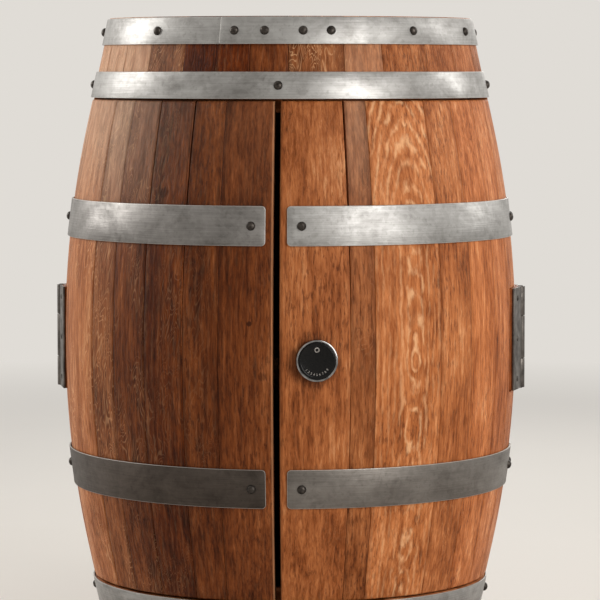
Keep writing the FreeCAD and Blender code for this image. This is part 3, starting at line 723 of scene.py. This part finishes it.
def stave(
        outline, start, end, notes, number, tight, gape=(0, 0), wear_and_highlight=(0, 0),
        eased=(eased_edge, eased_edge), painted_sheen=0):
    """One stave with its edges eased and its notes written on the vertices.

    Each pair is for the left and the right side: tight is 1 where a neighbour meets it, gape is how far
    the seam has opened, the third pair is how pale the edge is painted, partly as wear and partly as a
    painted highlight, and eased is how far it is rounded. The last argument is how much painted sheen the top
    of the stave gets."""
    light, red, figure, fleck, dirt, heart = notes
    bm = bmesh.new()
    bm.faces.new([bm.verts.new(around(start, radius, height)) for radius, height in outline])
    steps = max(4, round((end - start) / stave_step))
    bmesh.ops.spin(
        bm, geom=bm.verts[:] + bm.edges[:] + bm.faces[:], cent=(0, 0, 0), axis=up,
        angle=math.radians(end - start), steps=steps)
    bmesh.ops.recalc_face_normals(bm, faces=bm.faces)
    round_off(bm, end_edges(bm, outline), eased_end, 3)
    for angle, size in zip((start, end), eased):
        round_off(bm, side_edges(bm, angle), size, 3)
    middle = (start + end) / 2
    half_width = math.radians(end - start) / 2
    proud = most_proud * noise.noise((number * 3.7, 0.5, 0.5))
    grain, tone, marks, paled = note_layers(bm, "grain", "tone", "marks", "paled")
    for vert in bm.verts:
        turned = Matrix.Rotation(-math.radians(middle), 3, "Z") @ vert.co
        turn = math.atan2(turned.x, -turned.y)
        radius = vert.co.xy.length
        from_edge = (half_width - abs(turn)) * bilge_radius
        seam_dirt = max(0, 1 - from_edge / seam_dirt_reach) * dirt
        vert[grain] = grain_note(turn * bilge_radius + heart, vert.co.z, radius, number)
        vert[tone] = (light, red, figure)
        # The painted sheen grows with height.
        vert[paled] = (painted_sheen * rising(vert.co.z, *painted_sheen_heights), 0, 0)
        side = 0 if turn < 0 else 1
        # The eased edge gets the pale edge note, partly wear and partly a painted highlight; elsewhere it
        # gets seam dirt.
        on_arris = from_edge < 0.7 * eased[side] and radius > outside(vert.co.z) - 2 * eased[side]
        vert[marks] = (fleck, wear_and_highlight[side] if on_arris else 0, 0 if on_arris else seam_dirt)
        lowered = flatness * (1 - (turn / half_width) ** 2) - proud
        vert.co.xy *= 1 - lowered / radius
        opened = gape[side] * rising(vert.co.z, *gape_heights) * max(0, 1 - from_edge / gape_reach)
        if from_edge < 1e-5 and radius < outside(vert.co.z) - stave_thickness / 2:
            opened = -tight[side] * math.radians(half_seam) * radius
        vert.co.xy = Matrix.Rotation((0.5 - side) * 2 * opened / radius, 2) @ vert.co.xy
    seat_on_flat(bm)
    return bm


print("a stave stands up to %.2f mm proud" % (most_proud * 1000))


# %% A row of staves
def stave_row(outline, angles, notes, first_number, care=None):
    """Staves side by side with hairline seams. care holds what is special about some of them."""
    row = []
    for number, (start, end) in enumerate(zip(angles, angles[1:])):
        tight = (int(number > 0), int(number < len(angles) - 2))
        first, last = start + half_seam * tight[0], end - half_seam * tight[1]
        special = (care or {}).get(number, {})
        row.append(stave(outline, first, last, notes[number], first_number + number, tight, **special))
    return row


print("seam: %.1f mm" % (seam * 1000))

# %% [markdown]
# ## Door staves
#
# Each door is seven staves. Their widths follow the barrel in the picture, so they are given as shares of
# the door's width. The notes of each stave are chosen: how light, red and figured the stave is, how much
# ray fleck and seam dirt it shows, and how far from it the heart of the log was.

# %% Door staves
meeting_gap = 0.0095
hinge_gap = 0.003
meeting_angle = angle_of(meeting_gap / 2)
door_end = 90 - angle_of(hinge_gap / 2)
right_seam_shares = (0.0, 0.193, 0.264, 0.476, 0.6, 0.73, 0.84, 1.0)
left_seam_shares = (0.0, 0.15, 0.254, 0.381, 0.502, 0.606, 0.833, 1.0)
door_outline = stave_outline(*heights("right_door_stave_2"))

right_notes = (
    (0.60, 0.20, 0.10, 0.05, 0.5, 0.075),
    (0.46, 0.00, 0.15, 0.10, 0.7, 0.060),
    (0.80, 0.10, 1.00, 0.05, 0.3, -0.0084),
    (0.66, 0.15, 0.20, 0.10, 0.4, 0.065),
    (0.80, 0.30, 0.15, 0.05, 0.4, 0.080),
    (0.80, 0.30, 0.15, 0.05, 0.4, 0.070),
    (0.74, 0.20, 0.15, 0.10, 0.4, 0.090))
# The lightness of the left door's staves also holds painted light: the outer staves are lighter with a
# painted sheen and those towards the gap darker with painted shade.
left_notes = (
    (0.14, 0.20, 0.12, 0.02, 0.6, 0.080),
    (0.10, 0.10, 0.20, 0.05, 0.8, 0.055),
    (0.03, 0.20, 0.25, 0.10, 0.8, 0.050),
    (0.10, 0.10, 0.15, 0.22, 0.8, 0.070),
    (0.34, 0.00, 0.15, 0.32, 0.7, 0.085),
    (0.70, 0.00, 0.15, 0.40, 0.6, 0.060),
    (0.76, 0.00, 0.15, 0.35, 0.6, 0.090))


def shared_out(start, end, shares):
    return [start + (end - start) * share for share in shares]


meeting_round = 0.0024
# In the care tables the amounts for the upper stave are a painted sheen, and the pale edges are partly wear
# and partly a painted highlight.
right_care = {
    0: {"gape": (0, 0.0012), "wear_and_highlight": (0.05, 0), "eased": (meeting_round, eased_edge)},
    1: {"gape": (0.0010, 0), "painted_sheen": 0.22}}
# The left door's upper staves get the strongest painted sheen.
left_care = {
    0: {"painted_sheen": 0.6}, 1: {"painted_sheen": 0.6}, 2: {"painted_sheen": 0.6}, 3: {"gape": (0, 0.0007), "painted_sheen": 0.22},
    4: {"gape": (0.0007, 0.0010), "painted_sheen": 0.07}, 5: {"gape": (0.0010, 0), "painted_sheen": 0.03},
    6: {"wear_and_highlight": (0, 0.2), "eased": (eased_edge, meeting_round), "painted_sheen": 0.04}}
right_angles = shared_out(meeting_angle, door_end, right_seam_shares)
left_angles = shared_out(-door_end, -meeting_angle, [1 - share for share in reversed(left_seam_shares)])


def door_staves(side, numbers, row):
    for number, bm in zip(numbers, row):
        set_up(
            "%s_stave_%d" % (side, number), bm, side + "_door", stave_oak, "aged_oak",
            "%s_door_stave_%d" % (side, number))


stave_count = len(right_notes)
right_row = stave_row(door_outline, right_angles, right_notes, 1, right_care)
left_row = stave_row(door_outline, left_angles, left_notes[::-1], 11, left_care)
door_staves("right", range(1, stave_count + 1), right_row)
door_staves("left", range(stave_count, 0, -1), left_row)

# %% [markdown]
# ## Short staves and the back
#
# Above and below the doors the front staves were left in place as two short rows, and the back of the
# barrel is whole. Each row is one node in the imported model, so its staves are gathered into one mesh.

# %% Short front staves and rear staves
strip_shares = (
    0.0, 0.067, 0.133, 0.2, 0.267, 0.34, 0.397, 0.454, 0.516, 0.606, 0.672, 0.76, 0.833, 0.917, 1.0)
rear_seam_degrees = (90, 108, 135, 144, 162, 180, 207, 216, 234, 252, 270)
body_start = 90 + angle_of(hinge_gap / 2)
strip_end = body_start - 2 * half_seam
strip_low, _ = heights("upper_front_staves")
_, strip_high = heights("lower_front_staves")

# The lightness of the short staves also holds painted light: the upper left ones are paler with a painted
# sheen, and two left of the middle are darker, partly darker wood and partly a painted shadow of the hoop
# above.
strip_notes = (
    (0.76, 0.00, 0.1, 0.6, 0.5, 0.08), (0.90, 0.00, 0.1, 0.9, 0.4, 0.07), (1.00, 0.00, 0.1, 0.9, 0.3, 0.09),
    (0.86, 0.00, 0.1, 0.9, 0.4, 0.06), (0.30, 0.00, 0.1, 0.4, 0.6, 0.08), (0.00, 0.60, 0.1, 0.0, 0.8, 0.05),
    (0.00, 0.60, 0.2, 0.0, 0.8, 0.03), (0.10, 0.30, 0.2, 0.0, 0.8, 0.06), (0.32, 0.00, 0.2, 0.5, 0.7, 0.05),
    (0.72, 0.00, 0.2, 1.0, 0.6, 0.07), (0.58, 0.10, 0.2, 0.2, 0.5, 0.08), (0.52, 0.20, 0.1, 0.1, 0.5, 0.06),
    (0.60, 0.20, 0.1, 0.2, 0.5, 0.09), (0.58, 0.20, 0.1, 0.2, 0.5, 0.07))
rear_notes = (
    (0.56, 0.25, 0.15, 0.15, 0.5, 0.08), (0.46, 0.15, 0.70, 0.10, 0.6, 0.005),
    (0.30, 0.05, 0.15, 0.20, 0.7, 0.06), (0.48, 0.25, 0.10, 0.10, 0.6, 0.09),
    (0.36, 0.20, 0.15, 0.15, 0.7, 0.07), (0.54, 0.15, 0.80, 0.10, 0.6, 0.01),
    (0.26, 0.10, 0.15, 0.20, 0.8, 0.06), (0.42, 0.20, 0.10, 0.15, 0.6, 0.08),
    (0.34, 0.05, 0.15, 0.40, 0.7, 0.07), (0.48, 0.05, 0.15, 0.40, 0.6, 0.09))


def stave_group(name, node, low, high, angles, notes, first_number, care=None):
    whole = bmesh.new()
    for bm in stave_row(stave_outline(low, high), angles, notes, first_number, care):
        gather(whole, bm)
    set_up(name, whole, "barrel_body", stave_oak, "aged_oak", node)


strip_angles = shared_out(-strip_end, strip_end, strip_shares)
rear_angles = [body_start, *rear_seam_degrees[1:-1], 360 - body_start]
# The care of the upper short staves is a painted sheen.
strip_care = {1: {"painted_sheen": 0.6}, 2: {"painted_sheen": 0.7}, 3: {"painted_sheen": 0.6}, 4: {"painted_sheen": 0.08}, 9: {"painted_sheen": 0.22}}
stave_group(
    "upper_short_staves", "upper_front_staves", strip_low, barrel_height, strip_angles, strip_notes, 21,
    strip_care)
stave_group("lower_short_staves", "lower_front_staves", 0, strip_high, strip_angles, strip_notes[::-1], 41)
stave_group("back_staves", "rear_staves", 0, barrel_height, rear_angles, rear_notes, 61)

# %% [markdown]
# ## Heads
#
# Each end of the barrel is closed by a head: boards laid side by side, sawn to a disc and bevelled at the
# rim so that the rim slides into the groove of the staves. The disc is an outline spun about the axis. Two
# cuts with a plane take each board out of a copy of it, so the boards stay flush. Their sawn edges are
# rounded on the outside, and a hairline parts them.

# %% Head boards
head_seam_shares = (0.0, 0.17, 0.36, 0.53, 0.7, 0.86, 1.0)
board_seam = 0.0005
board_round = 0.001
head_steps = 96
head_low, head_top = heights("top_head_boards")


def turned(points, steps, closed=False):
    """A round piece: an outline of (radius, height) points spun about the Z axis."""
    bm = bmesh.new()
    corners = [bm.verts.new((radius, 0, height)) for radius, height in points]
    for first, second in zip(corners, corners[1:]):
        bm.edges.new((first, second))
    if closed:
        bm.edges.new((corners[-1], corners[0]))
    bmesh.ops.spin(
        bm, geom=bm.verts[:] + bm.edges[:], cent=(0, 0, 0), axis=up, angle=math.tau, steps=steps,
        use_merge=True)
    bmesh.ops.remove_doubles(bm, verts=bm.verts, dist=1e-6)
    bmesh.ops.recalc_face_normals(bm, faces=bm.faces)
    return bm


def sawn(bm, left, right):
    """Keeps the part of a disc between two planes across X, and closes the cuts."""
    for place, keep in ((left, -1), (right, 1)):
        cut = bmesh.ops.bisect_plane(
            bm, geom=bm.verts[:] + bm.edges[:] + bm.faces[:], dist=1e-6, plane_co=(place, 0, 0),
            plane_no=(keep, 0, 0), clear_outer=True)
        edges = [made for made in cut["geom_cut"] if isinstance(made, bmesh.types.BMEdge)]
        bmesh.ops.contextual_create(bm, geom=edges)
        upper = [edge for edge in edges if all(abs(end.co.z - head_top) < 1e-6 for end in edge.verts)]
        round_off(bm, upper, board_round)


def board_notes(bm, number, light, red, heart):
    """Notes for a board that runs along Y."""
    grain, tone, marks = note_layers(bm, "grain", "tone", "marks")
    for vert in bm.verts:
        vert[grain] = grain_note(vert.co.x + heart, vert.co.y, vert.co.z, number)
        vert[tone] = (light, red, 0.8 if heart < 0.02 else 0.15)
        vert[marks] = (0.1, 0, 0)


print("boards in a head:", len(head_seam_shares) - 1)

# %% Heads
tongue = 0.008
head_bevel = 0.012
rim_thickness = 0.009
head_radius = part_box("top_head_boards")[1].y
head_board_tones = (
    (0.45, 0.2, 0.06), (0.78, 0.1, 0.05), (0.32, 0.1, 0.012), (0.66, 0.3, 0.07), (0.40, 0.2, 0.05),
    (0.62, 0.1, 0.08))


def head(name, node, flip):
    outline = [
        (0, head_low), (head_radius, head_low), (head_radius, head_low + rim_thickness),
        (head_radius - tongue, head_low + rim_thickness), (head_radius - tongue - head_bevel, head_top),
        (0, head_top)]
    whole = bmesh.new()
    for number, (first, last) in enumerate(zip(head_seam_shares, head_seam_shares[1:])):
        board = turned(outline, head_steps)
        left = head_radius * (2 * first - 1) + board_seam / 2
        right = head_radius * (2 * last - 1) - board_seam / 2
        sawn(board, left if first > 0 else -2 * head_radius, right if last < 1 else 2 * head_radius)
        light, red, heart = head_board_tones[number]
        board_notes(board, number, light, red, heart - (left + right) / 2)
        gather(whole, board)
    if flip:
        turned_over = Matrix.Translation(up * barrel_height) @ Matrix.Rotation(math.pi, 4, "Y")
        bmesh.ops.transform(whole, verts=whole.verts, matrix=turned_over)
    bmesh.ops.recalc_face_normals(whole, faces=whole.faces)
    set_up(name, whole, "barrel_body", head_oak, "head_oak", node)


head("top_head", "top_head_boards", False)
head("bottom_head", "bottom_head_boards", True)

# %% [markdown]
# ## Hoops and straps
#
# A hoop is a flat strip that is bent round and riveted where its ends lap. It is made the same way here: a
# bar is rounded at its corners while it is flat, cut into short lengths, and then rolled up, each point
# going to its own angle and to the radius of the wood below it. The outer end of a hoop lies over its inner
# end, so the strip lifts by its own thickness there. The upper chime hoop laps at the front and the others
# at the back. The hoops were driven on with a hammer, so their faces get a few shallow dents. Their rims
# are noted for a paler colour, partly wear and partly a painted highlight.

# %% Rolled bands
band_thickness = 0.0024
band_clearance = 0.0004
band_edge = 0.0008
band_step = 2.0
dent_depth = 0.00018
dents_per_metre = 24


def band_radius(low, high, height):
    """The inside of a straight band, just clear of the bow below it."""
    foot, head_end = outside(low), outside(high)
    bulge = outside((low + high) / 2) - (foot + head_end) / 2
    straight = foot + (head_end - foot) * (height - low) / (high - low)
    return straight + max(0, bulge) + band_clearance


def cut_lengths(bm, start, end, step):
    """Cuts a flat bar into short lengths so that it can bend."""
    count = math.ceil((end - start) / step)
    for place in evenly(start, end, count)[1:-1]:
        cut_across(bm, (place, 0, 0), (1, 0, 0))


def rolled_band(low, high, start, end, rounded_ends=(), corner_radius=0.0, lift=None):
    """A strip from one angle to another. The ends named in rounded_ends, -1 or 1, get round corners."""
    scale = math.radians(1) * bilge_radius
    flat_start, flat_end = start * scale, end * scale
    bm = block(
        (flat_end - flat_start, band_thickness, high - low),
        ((flat_start + flat_end) / 2, band_thickness / 2, (low + high) / 2))
    ends = [flat_start if side < 0 else flat_end for side in rounded_ends]
    corners = []
    for edge in bm.edges:
        first, second = (vert.co for vert in edge.verts)
        across = abs(first.y - second.y) > band_thickness / 2
        if across and any(abs(first.x - place) < 1e-6 for place in ends):
            corners.append(edge)
    if corners:
        round_off(bm, corners, corner_radius, 6)
    rims = [edge for edge in bm.edges if all(vert.co.y > band_thickness / 2 for vert in edge.verts)]
    round_off(bm, rims, band_edge)
    cut_lengths(bm, flat_start, flat_end, band_step * scale)
    cut_across(bm, up * ((low + high) / 2), up)
    # Rims are noted for a paler colour, partly wear and partly a painted highlight.
    wear_and_highlight, = note_layers(bm, "wear_and_highlight")
    for vert in bm.verts:
        on_rim = band_thickness - 1e-4 > vert.co.y > 1e-4
        vert[wear_and_highlight] = (1 if on_rim else 0, 0, 0)
        angle = vert.co.x / scale
        height = vert.co.z
        radius = band_radius(low, high, height) + vert.co.y
        if lift:
            radius += lift(angle)
        dent = dent_depth * noise.noise(around(angle, radius, height) * dents_per_metre)
        vert.co = around(angle, radius + dent, height)
    bmesh.ops.recalc_face_normals(bm, faces=bm.faces)
    return bm


print("band thickness: %.1f mm" % (band_thickness * 1000))

# %% Hoops
lap_start = -17.4
lap_end = 24.0
lap_slope = 7.0
lap_gap = 0.0002
quarter_lap_start = 172.0
hoop_corner = 0.003


def lapped(start):
    """How far a hoop stands off the wood at an angle: one thickness where it lies over its other end."""
    def lift(angle):
        lap_foot = start + lap_end - lap_start
        return (band_thickness + lap_gap) * rising(-angle, -lap_foot - lap_slope, -lap_foot)
    return lift


for node, start in (
        ("top_chime_hoop", lap_start), ("bottom_chime_hoop", quarter_lap_start),
        ("top_quarter_hoop", quarter_lap_start), ("bottom_quarter_hoop", quarter_lap_start)):
    low, high = heights(node)
    hoop = rolled_band(
        low, high, start, start + 360 + lap_end - lap_start, (-1,), hoop_corner, lapped(start))
    set_up(node.replace("hoop", "band"), hoop, "barrel_body", bright_zinc, "galvanised_steel", node)

strap_hinge_setback = 0.008
# The rear hoops take the shaded copy of the zinc, a painted shade.
for node in ("rear_upper_bilge_hoop", "rear_lower_bilge_hoop"):
    low, high = heights(node)
    start = body_start + angle_of(strap_hinge_setback)
    hoop = rolled_band(low, high, start, 360 - start)
    set_up(node.replace("hoop", "band"), hoop, "barrel_body", shaded_zinc, "galvanised_steel", node)

# %% Straps
strap_meeting_setback = 0.010
strap_corner = 0.0055
strap_start = meeting_angle + angle_of(strap_meeting_setback)
strap_end = door_end - angle_of(strap_hinge_setback)
# The left and lower straps take darker copies of the zinc: painted shade and painted darker reflections.
strap_finishes = {
    "right_upper_strap": bright_zinc, "left_upper_strap": half_shaded_zinc,
    "right_lower_strap": shaded_zinc, "left_lower_strap": deep_shaded_zinc}
for node, finish in strap_finishes.items():
    low, high = heights(node)
    side = node.split("_")[0]
    if side == "right":
        band = rolled_band(low, high, strap_start, strap_end, (-1,), strap_corner)
    else:
        band = rolled_band(low, high, -strap_end, -strap_start, (1,), strap_corner)
    set_up(node + "_band", band, side + "_door", finish, "galvanised_steel", node)

# %% [markdown]
# ## Rivets
#
# The rivets are forged domes. A dome is a quarter of an ellipse spun about the rivet's axis, with a short
# skirt that sinks into the band. They are set square on the band: its slope is found from the wood at its
# two edges.

# %% Rivet heads
rivet_radius = 0.0062
rivet_height = 0.0048
rivet_sink = 0.0015


def dome(radius, height, sink, cuts=6, steps=20):
    outline = [(0, -sink), (radius, -sink)]
    for share in evenly(0, 90, cuts):
        turn = math.radians(share)
        outline.append((radius * math.cos(turn), height * math.sin(turn)))
    return turned(outline, steps)


def set_on(bm, place, outward):
    turn = up.rotation_difference(outward).to_matrix().to_4x4()
    bmesh.ops.transform(bm, matrix=Matrix.Translation(place) @ turn, verts=bm.verts)


def on_band(low, high, angle, lift=0.0):
    """The place on the outside of a band at an angle, half way up, and the way out from it."""
    middle = (low + high) / 2
    radius = band_radius(low, high, middle) + band_thickness + lift
    slope = (outside(low) - outside(high)) / (high - low)
    return around(angle, radius, middle), around(angle, 1, slope).normalized()


def rivet_row(whole, low, high, angles, lift=None):
    for angle in angles:
        head_piece = dome(rivet_radius, rivet_height, rivet_sink)
        set_on(head_piece, *on_band(low, high, angle, lift(angle) if lift else 0.0))
        gather(whole, head_piece)


print("rivets: %.1f mm across" % (2 * rivet_radius * 1000))

# %% Rivets
chime_rivet_degrees = (
    -84, -39.9, -13.0, -4.0, 7.2, 15.4, 42.9, 70.9, 98, 122, 146, 170, 194, 218, 242, 262)
quarter_rivet_degrees = (-87, 0.1, 88, 176, 188)
rivet_meeting_setback = 0.030
rivet_hinge_setback = 0.022
meeting_rivet = meeting_angle + angle_of(rivet_meeting_setback)
hinge_rivet = door_end - angle_of(rivet_hinge_setback)
body_rivet = body_start + angle_of(rivet_hinge_setback)
for side, sign in (("right", 1), ("left", -1)):
    rivets = bmesh.new()
    for node in (side + "_upper_strap", side + "_lower_strap"):
        rivet_row(rivets, *heights(node), (sign * meeting_rivet, sign * hinge_rivet))
    set_up(side + "_rivets", rivets, side + "_door", dark_steel, "dark_steel", side + "_strap_rivets")

rear_rivets = bmesh.new()
for node in ("rear_upper_bilge_hoop", "rear_lower_bilge_hoop"):
    rivet_row(rear_rivets, *heights(node), (body_rivet, 360 - body_rivet))
set_up("rear_rivets", rear_rivets, "barrel_body", dark_steel, "dark_steel", "rear_hoop_rivets")

hoop_rivets = bmesh.new()
for node, angles, start in (
        ("top_chime_hoop", chime_rivet_degrees, lap_start),
        ("bottom_chime_hoop", chime_rivet_degrees[8:], quarter_lap_start),
        ("top_quarter_hoop", quarter_rivet_degrees, quarter_lap_start),
        ("bottom_quarter_hoop", quarter_rivet_degrees, quarter_lap_start)):
    from_start = [angle if angle >= start else angle + 360 for angle in angles]
    rivet_row(hoop_rivets, *heights(node), from_start, lapped(start))
set_up("hoop_rivets", hoop_rivets, "barrel_body", dark_steel, "dark_steel")

# %% [markdown]
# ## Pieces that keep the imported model's shape
#
# Battens, stops, shelf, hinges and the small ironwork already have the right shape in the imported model, but
# their edges are as sharp as a drawing. A copy of the mesh is merged, its flat faces are joined, and every
# real edge is eased with a small bevel. Wooden copies get their notes from their own place, solid by solid.

# %% A softened copy of a node
def softened(node, ease):
    bm = bmesh.new()
    bm.from_mesh(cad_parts[node].data)
    bmesh.ops.remove_doubles(bm, verts=bm.verts, dist=1e-6)
    bmesh.ops.dissolve_limit(bm, angle_limit=math.radians(0.5), verts=bm.verts, edges=bm.edges)
    edges = [edge for edge in bm.edges if len(edge.link_faces) == 2 and edge.calc_face_angle() > sharp_edge]
    round_off(bm, edges, ease, clamp_overlap=True)
    return bm


def solids(bm):
    """The separate solids of a mesh, as lists of vertices."""
    left = set(bm.verts)
    while left:
        found = {left.pop()}
        border = list(found)
        while border:
            vert = border.pop()
            near = {edge.other_vert(vert) for edge in vert.link_edges} & left
            left -= near
            found |= near
            border += near
        yield found


print("edges sharper than %.0f degrees are eased" % math.degrees(sharp_edge))

# %% Grain of boards and rails
heart_aside = 0.06


def wood_notes(bm, along, first_number):
    """Notes for boards and rails: along gives a point's place across, along and deep in the wood."""
    grain, tone, marks = note_layers(bm, "grain", "tone", "marks")
    groups = sorted(solids(bm), key=lambda verts: min(vert.co.x for vert in verts))
    for number, verts in enumerate(groups, first_number):
        shade = 0.5 + 0.35 * noise.noise((number * 2.3, 0.5, 0.5))
        for vert in verts:
            across, length, deep = along(vert.co)
            vert[grain] = grain_note(across + heart_aside, length, deep, number)
            vert[tone] = (shade, 0.3, 0.2)
            vert[marks] = (0.1, 0, 0)


def from_front_to_back(point):
    return point.x, point.y, point.z


def from_side_to_side(point):
    return point.z, point.x, point.y


def upright(point):
    return point.x, point.z, point.y


def round_the_barrel(point):
    return point.z, math.atan2(point.x, -point.y) * point.xy.length, point.xy.length


print("the heart of the log lies %.0f mm aside" % (heart_aside * 1000))

# %% Shelf, stops, battens and hinge blocks
wood_nodes = (
    ("shelf_boards", "barrel_body", from_front_to_back),
    ("shelf_cleats", "barrel_body", round_the_barrel),
    ("shelf_bearer", "barrel_body", from_side_to_side),
    ("upper_door_stop", "barrel_body", round_the_barrel),
    ("lower_door_stop", "barrel_body", round_the_barrel),
    ("left_upper_batten", "left_door", round_the_barrel),
    ("left_lower_batten", "left_door", round_the_barrel),
    ("right_upper_batten", "right_door", round_the_barrel),
    ("right_lower_batten", "right_door", round_the_barrel),
    ("left_hinge_door_block", "left_door", upright),
    ("right_hinge_door_block", "right_door", upright),
    ("left_hinge_body_block", "barrel_body", upright),
    ("right_hinge_body_block", "barrel_body", upright))
board_ease = 0.0012
first_board = 80
most_boards = 7
for number, (node, body, along) in enumerate(wood_nodes):
    bm = softened(node, board_ease)
    wood_notes(bm, along, first_board + most_boards * number)
    # The hinge blocks take the outside stave oak. The door stops behind the doors' gap take it too because it
    # is darker than the inner oak: a painted shade in the gap.
    finish = stave_oak if "block" in node or "stop" in node else inner_oak
    set_up("oak_" + node, bm, body, finish, "inner_oak", node)

# %% [markdown]
# ## Hinges and ironwork
#
# Each door hangs on one long butt hinge of dark steel. The leaves and pins are softened copies, and three
# slotted screws hold each leaf. A screw head is a dome with a slot: two pairs of cuts across it mark the
# slot's walls, and the points between them are pushed down.

# %% Hinges, bolt and the back of the lock
metal_ease = 0.0006
iron_nodes = {
    "right_hinge_door_leaf": "right_door", "left_hinge_door_leaf": "left_door",
    "right_hinge_body_leaf": "barrel_body", "left_hinge_body_leaf": "barrel_body",
    "right_hinge_pin": "barrel_body", "left_hinge_pin": "barrel_body", "lock_back_plate": "right_door",
    "lock_tongue": "lock", "lock_tongue_screw": "lock", "bolt_plate": "left_door", "sliding_bolt": "bolt"}
for node, body in iron_nodes.items():
    finish = worn_steel if "hinge" in node else dark_steel
    set_up("steel_" + node, softened(node, metal_ease), body, finish, "dark_steel", node)

# %% Hinge screws
screw_radius = 0.0042
screw_height = 0.0014
screw_sink = 0.0004
screw_slot = 0.0006
slot_depth = 0.0009
slot_wall = 0.0001
screw_heights = (-0.057, 0.0, 0.057)
screw_reach = 0.034
hinge_lean = math.radians(13)
pin_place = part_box("right_hinge_pin")
pin_x = (pin_place[0].x + pin_place[1].x) / 2
leaf_face = 0.0035


def screw():
    bm = dome(screw_radius, screw_height, screw_sink, cuts=4, steps=16)
    for place in (-screw_slot - slot_wall, -screw_slot, screw_slot, screw_slot + slot_wall):
        cut_across(bm, (0, place, 0), (0, 1, 0))
    for vert in bm.verts:
        if abs(vert.co.y) < screw_slot + slot_wall / 2 and vert.co.z > 0:
            vert.co.z = max(0, vert.co.z - slot_depth)
    return bm


def leaf_screws(side, rear):
    """The screws of one leaf: side is 1 on the right, rear is 1 behind the pin."""
    outward = Vector((side * math.cos(hinge_lean), rear * math.sin(hinge_lean), 0))
    along = Vector((-side * math.sin(hinge_lean), rear * math.cos(hinge_lean), 0))
    whole = bmesh.new()
    for height in screw_heights:
        bm = screw()
        pin_point = Vector((side * pin_x, 0, mid_height + height))
        set_on(bm, pin_point + along * screw_reach + outward * leaf_face, outward)
        gather(whole, bm)
    return whole


for name, side in (("right", 1), ("left", -1)):
    set_up(name + "_door_leaf_screws", leaf_screws(side, -1), name + "_door", dark_steel, "dark_steel")
    set_up(name + "_body_leaf_screws", leaf_screws(side, 1), "barrel_body", dark_steel, "dark_steel")

# %% [markdown]
# ## Lock
#
# The lock is a round chrome case with a black dial in it. Case and dial are turned pieces, each an outline
# spun about the lock's own axis, which points out of the right door. The dial carries plain numbers along
# its lower edge and one small ring above: text is turned into a mesh first and then set round the arc.

# %% Lock case and dial
lock_setback = 0.049
lock_angle = meeting_angle + angle_of(lock_setback)
lock_out = around(lock_angle, 1, 0)
lock_right = around(lock_angle + 90, 1, 0)
lock_height = sum(heights("lock_case")) / 2
lock_frame = Matrix((
    (lock_right.x, up.x, lock_out.x, 0), (lock_right.y, up.y, lock_out.y, 0),
    (lock_right.z, up.z, lock_out.z, lock_height), (0, 0, 0, 1)))
lock_seat = 0.3183
case_radius = 0.028
case_inside = 0.0252
case_depth = 0.0125
case_front = lock_seat + case_depth
flange_thickness = 0.0035
flange_front = lock_seat + flange_thickness
spindle = 0.00506
tube_width = 0.022
tube_length = 0.043
tube_round = 0.001
dial_radius = 0.0248
dial_rim = 0.0011
dial_setback = 0.001
dial_front = case_front - dial_setback
dial_gap = 0.0004
round_steps = 64


def on_lock(bm):
    bmesh.ops.transform(bm, matrix=lock_frame, verts=bm.verts)
    return bm


def lock_case():
    lip = 0.0012
    bm = turned([
        (spindle, lock_seat), (case_radius, lock_seat), (case_radius, case_front - lip),
        (case_radius - 0.3 * lip, case_front - 0.3 * lip), (case_radius - lip, case_front),
        (case_inside + 0.5 * lip, case_front), (case_inside, case_front - 0.5 * lip),
        (case_inside, flange_front), (spindle, flange_front)], round_steps, closed=True)
    tube = block((tube_width, tube_width, tube_length), (0, 0, lock_seat - tube_length / 2))
    round_off(tube, tube.edges, tube_round)
    gather(bm, tube)
    return on_lock(bm)


def lock_dial():
    """The dial: a shallow dished face with a raised rim."""
    rim = dial_rim
    return on_lock(turned([
        (0, dial_front - rim), (dial_radius - 3.2 * rim, dial_front - rim),
        (dial_radius - 2.4 * rim, dial_front - 0.8 * rim), (dial_radius - 1.6 * rim, dial_front),
        (dial_radius - 0.4 * rim, dial_front - 0.2 * rim), (dial_radius, dial_front - rim),
        (dial_radius, flange_front + dial_gap), (0, flange_front + dial_gap)], round_steps))


set_up("lock_rim", lock_case(), "right_door", chrome, "chrome", "lock_case")
set_up("dial", lock_dial(), "lock", black_gloss, "black_gloss", "lock_dial")

# %% Dial numbers
number_size = 0.0044
number_arc_radius = 0.0185
number_spread = 50
number_relief = 0.00012
index_inside = 0.0022
index_outside = 0.0034
index_height = 0.0145
index_steps = 24


def number_mesh(text):
    letters = bpy.data.curves.new("letters", "FONT")
    letters.body = text
    letters.size = number_size
    letters.align_x = "CENTER"
    letters.align_y = "CENTER"
    letters.extrude = number_relief
    writing = bpy.data.objects.new("letters", letters)
    scene.collection.objects.link(writing)
    bpy.context.view_layer.update()
    mesh = bpy.data.meshes.new_from_object(writing)
    bpy.data.objects.remove(writing)
    bpy.data.curves.remove(letters)
    return mesh


numbers = bmesh.new()
digits = "123456789"
face = dial_front - dial_rim + number_relief
for digit, angle in zip(digits, evenly(-number_spread, number_spread, len(digits) - 1)):
    mesh = number_mesh(digit)
    turn = math.radians(angle)
    place = Vector((number_arc_radius * math.sin(turn), -number_arc_radius * math.cos(turn), face))
    mesh.transform(lock_frame @ Matrix.Translation(place) @ Matrix.Rotation(turn, 4, "Z"))
    numbers.from_mesh(mesh)
    bpy.data.meshes.remove(mesh)
index_top = 2 * number_relief
index_ring = turned(
    [(index_inside, 0), (index_outside, 0), (index_outside, index_top), (index_inside, index_top)],
    index_steps, closed=True)
index_place = Matrix.Translation((0, index_height, face - number_relief))
bmesh.ops.transform(index_ring, matrix=lock_frame @ index_place, verts=index_ring.verts)
gather(numbers, index_ring)
set_up("dial_numbers", numbers, "lock", number_paint, "black_gloss")
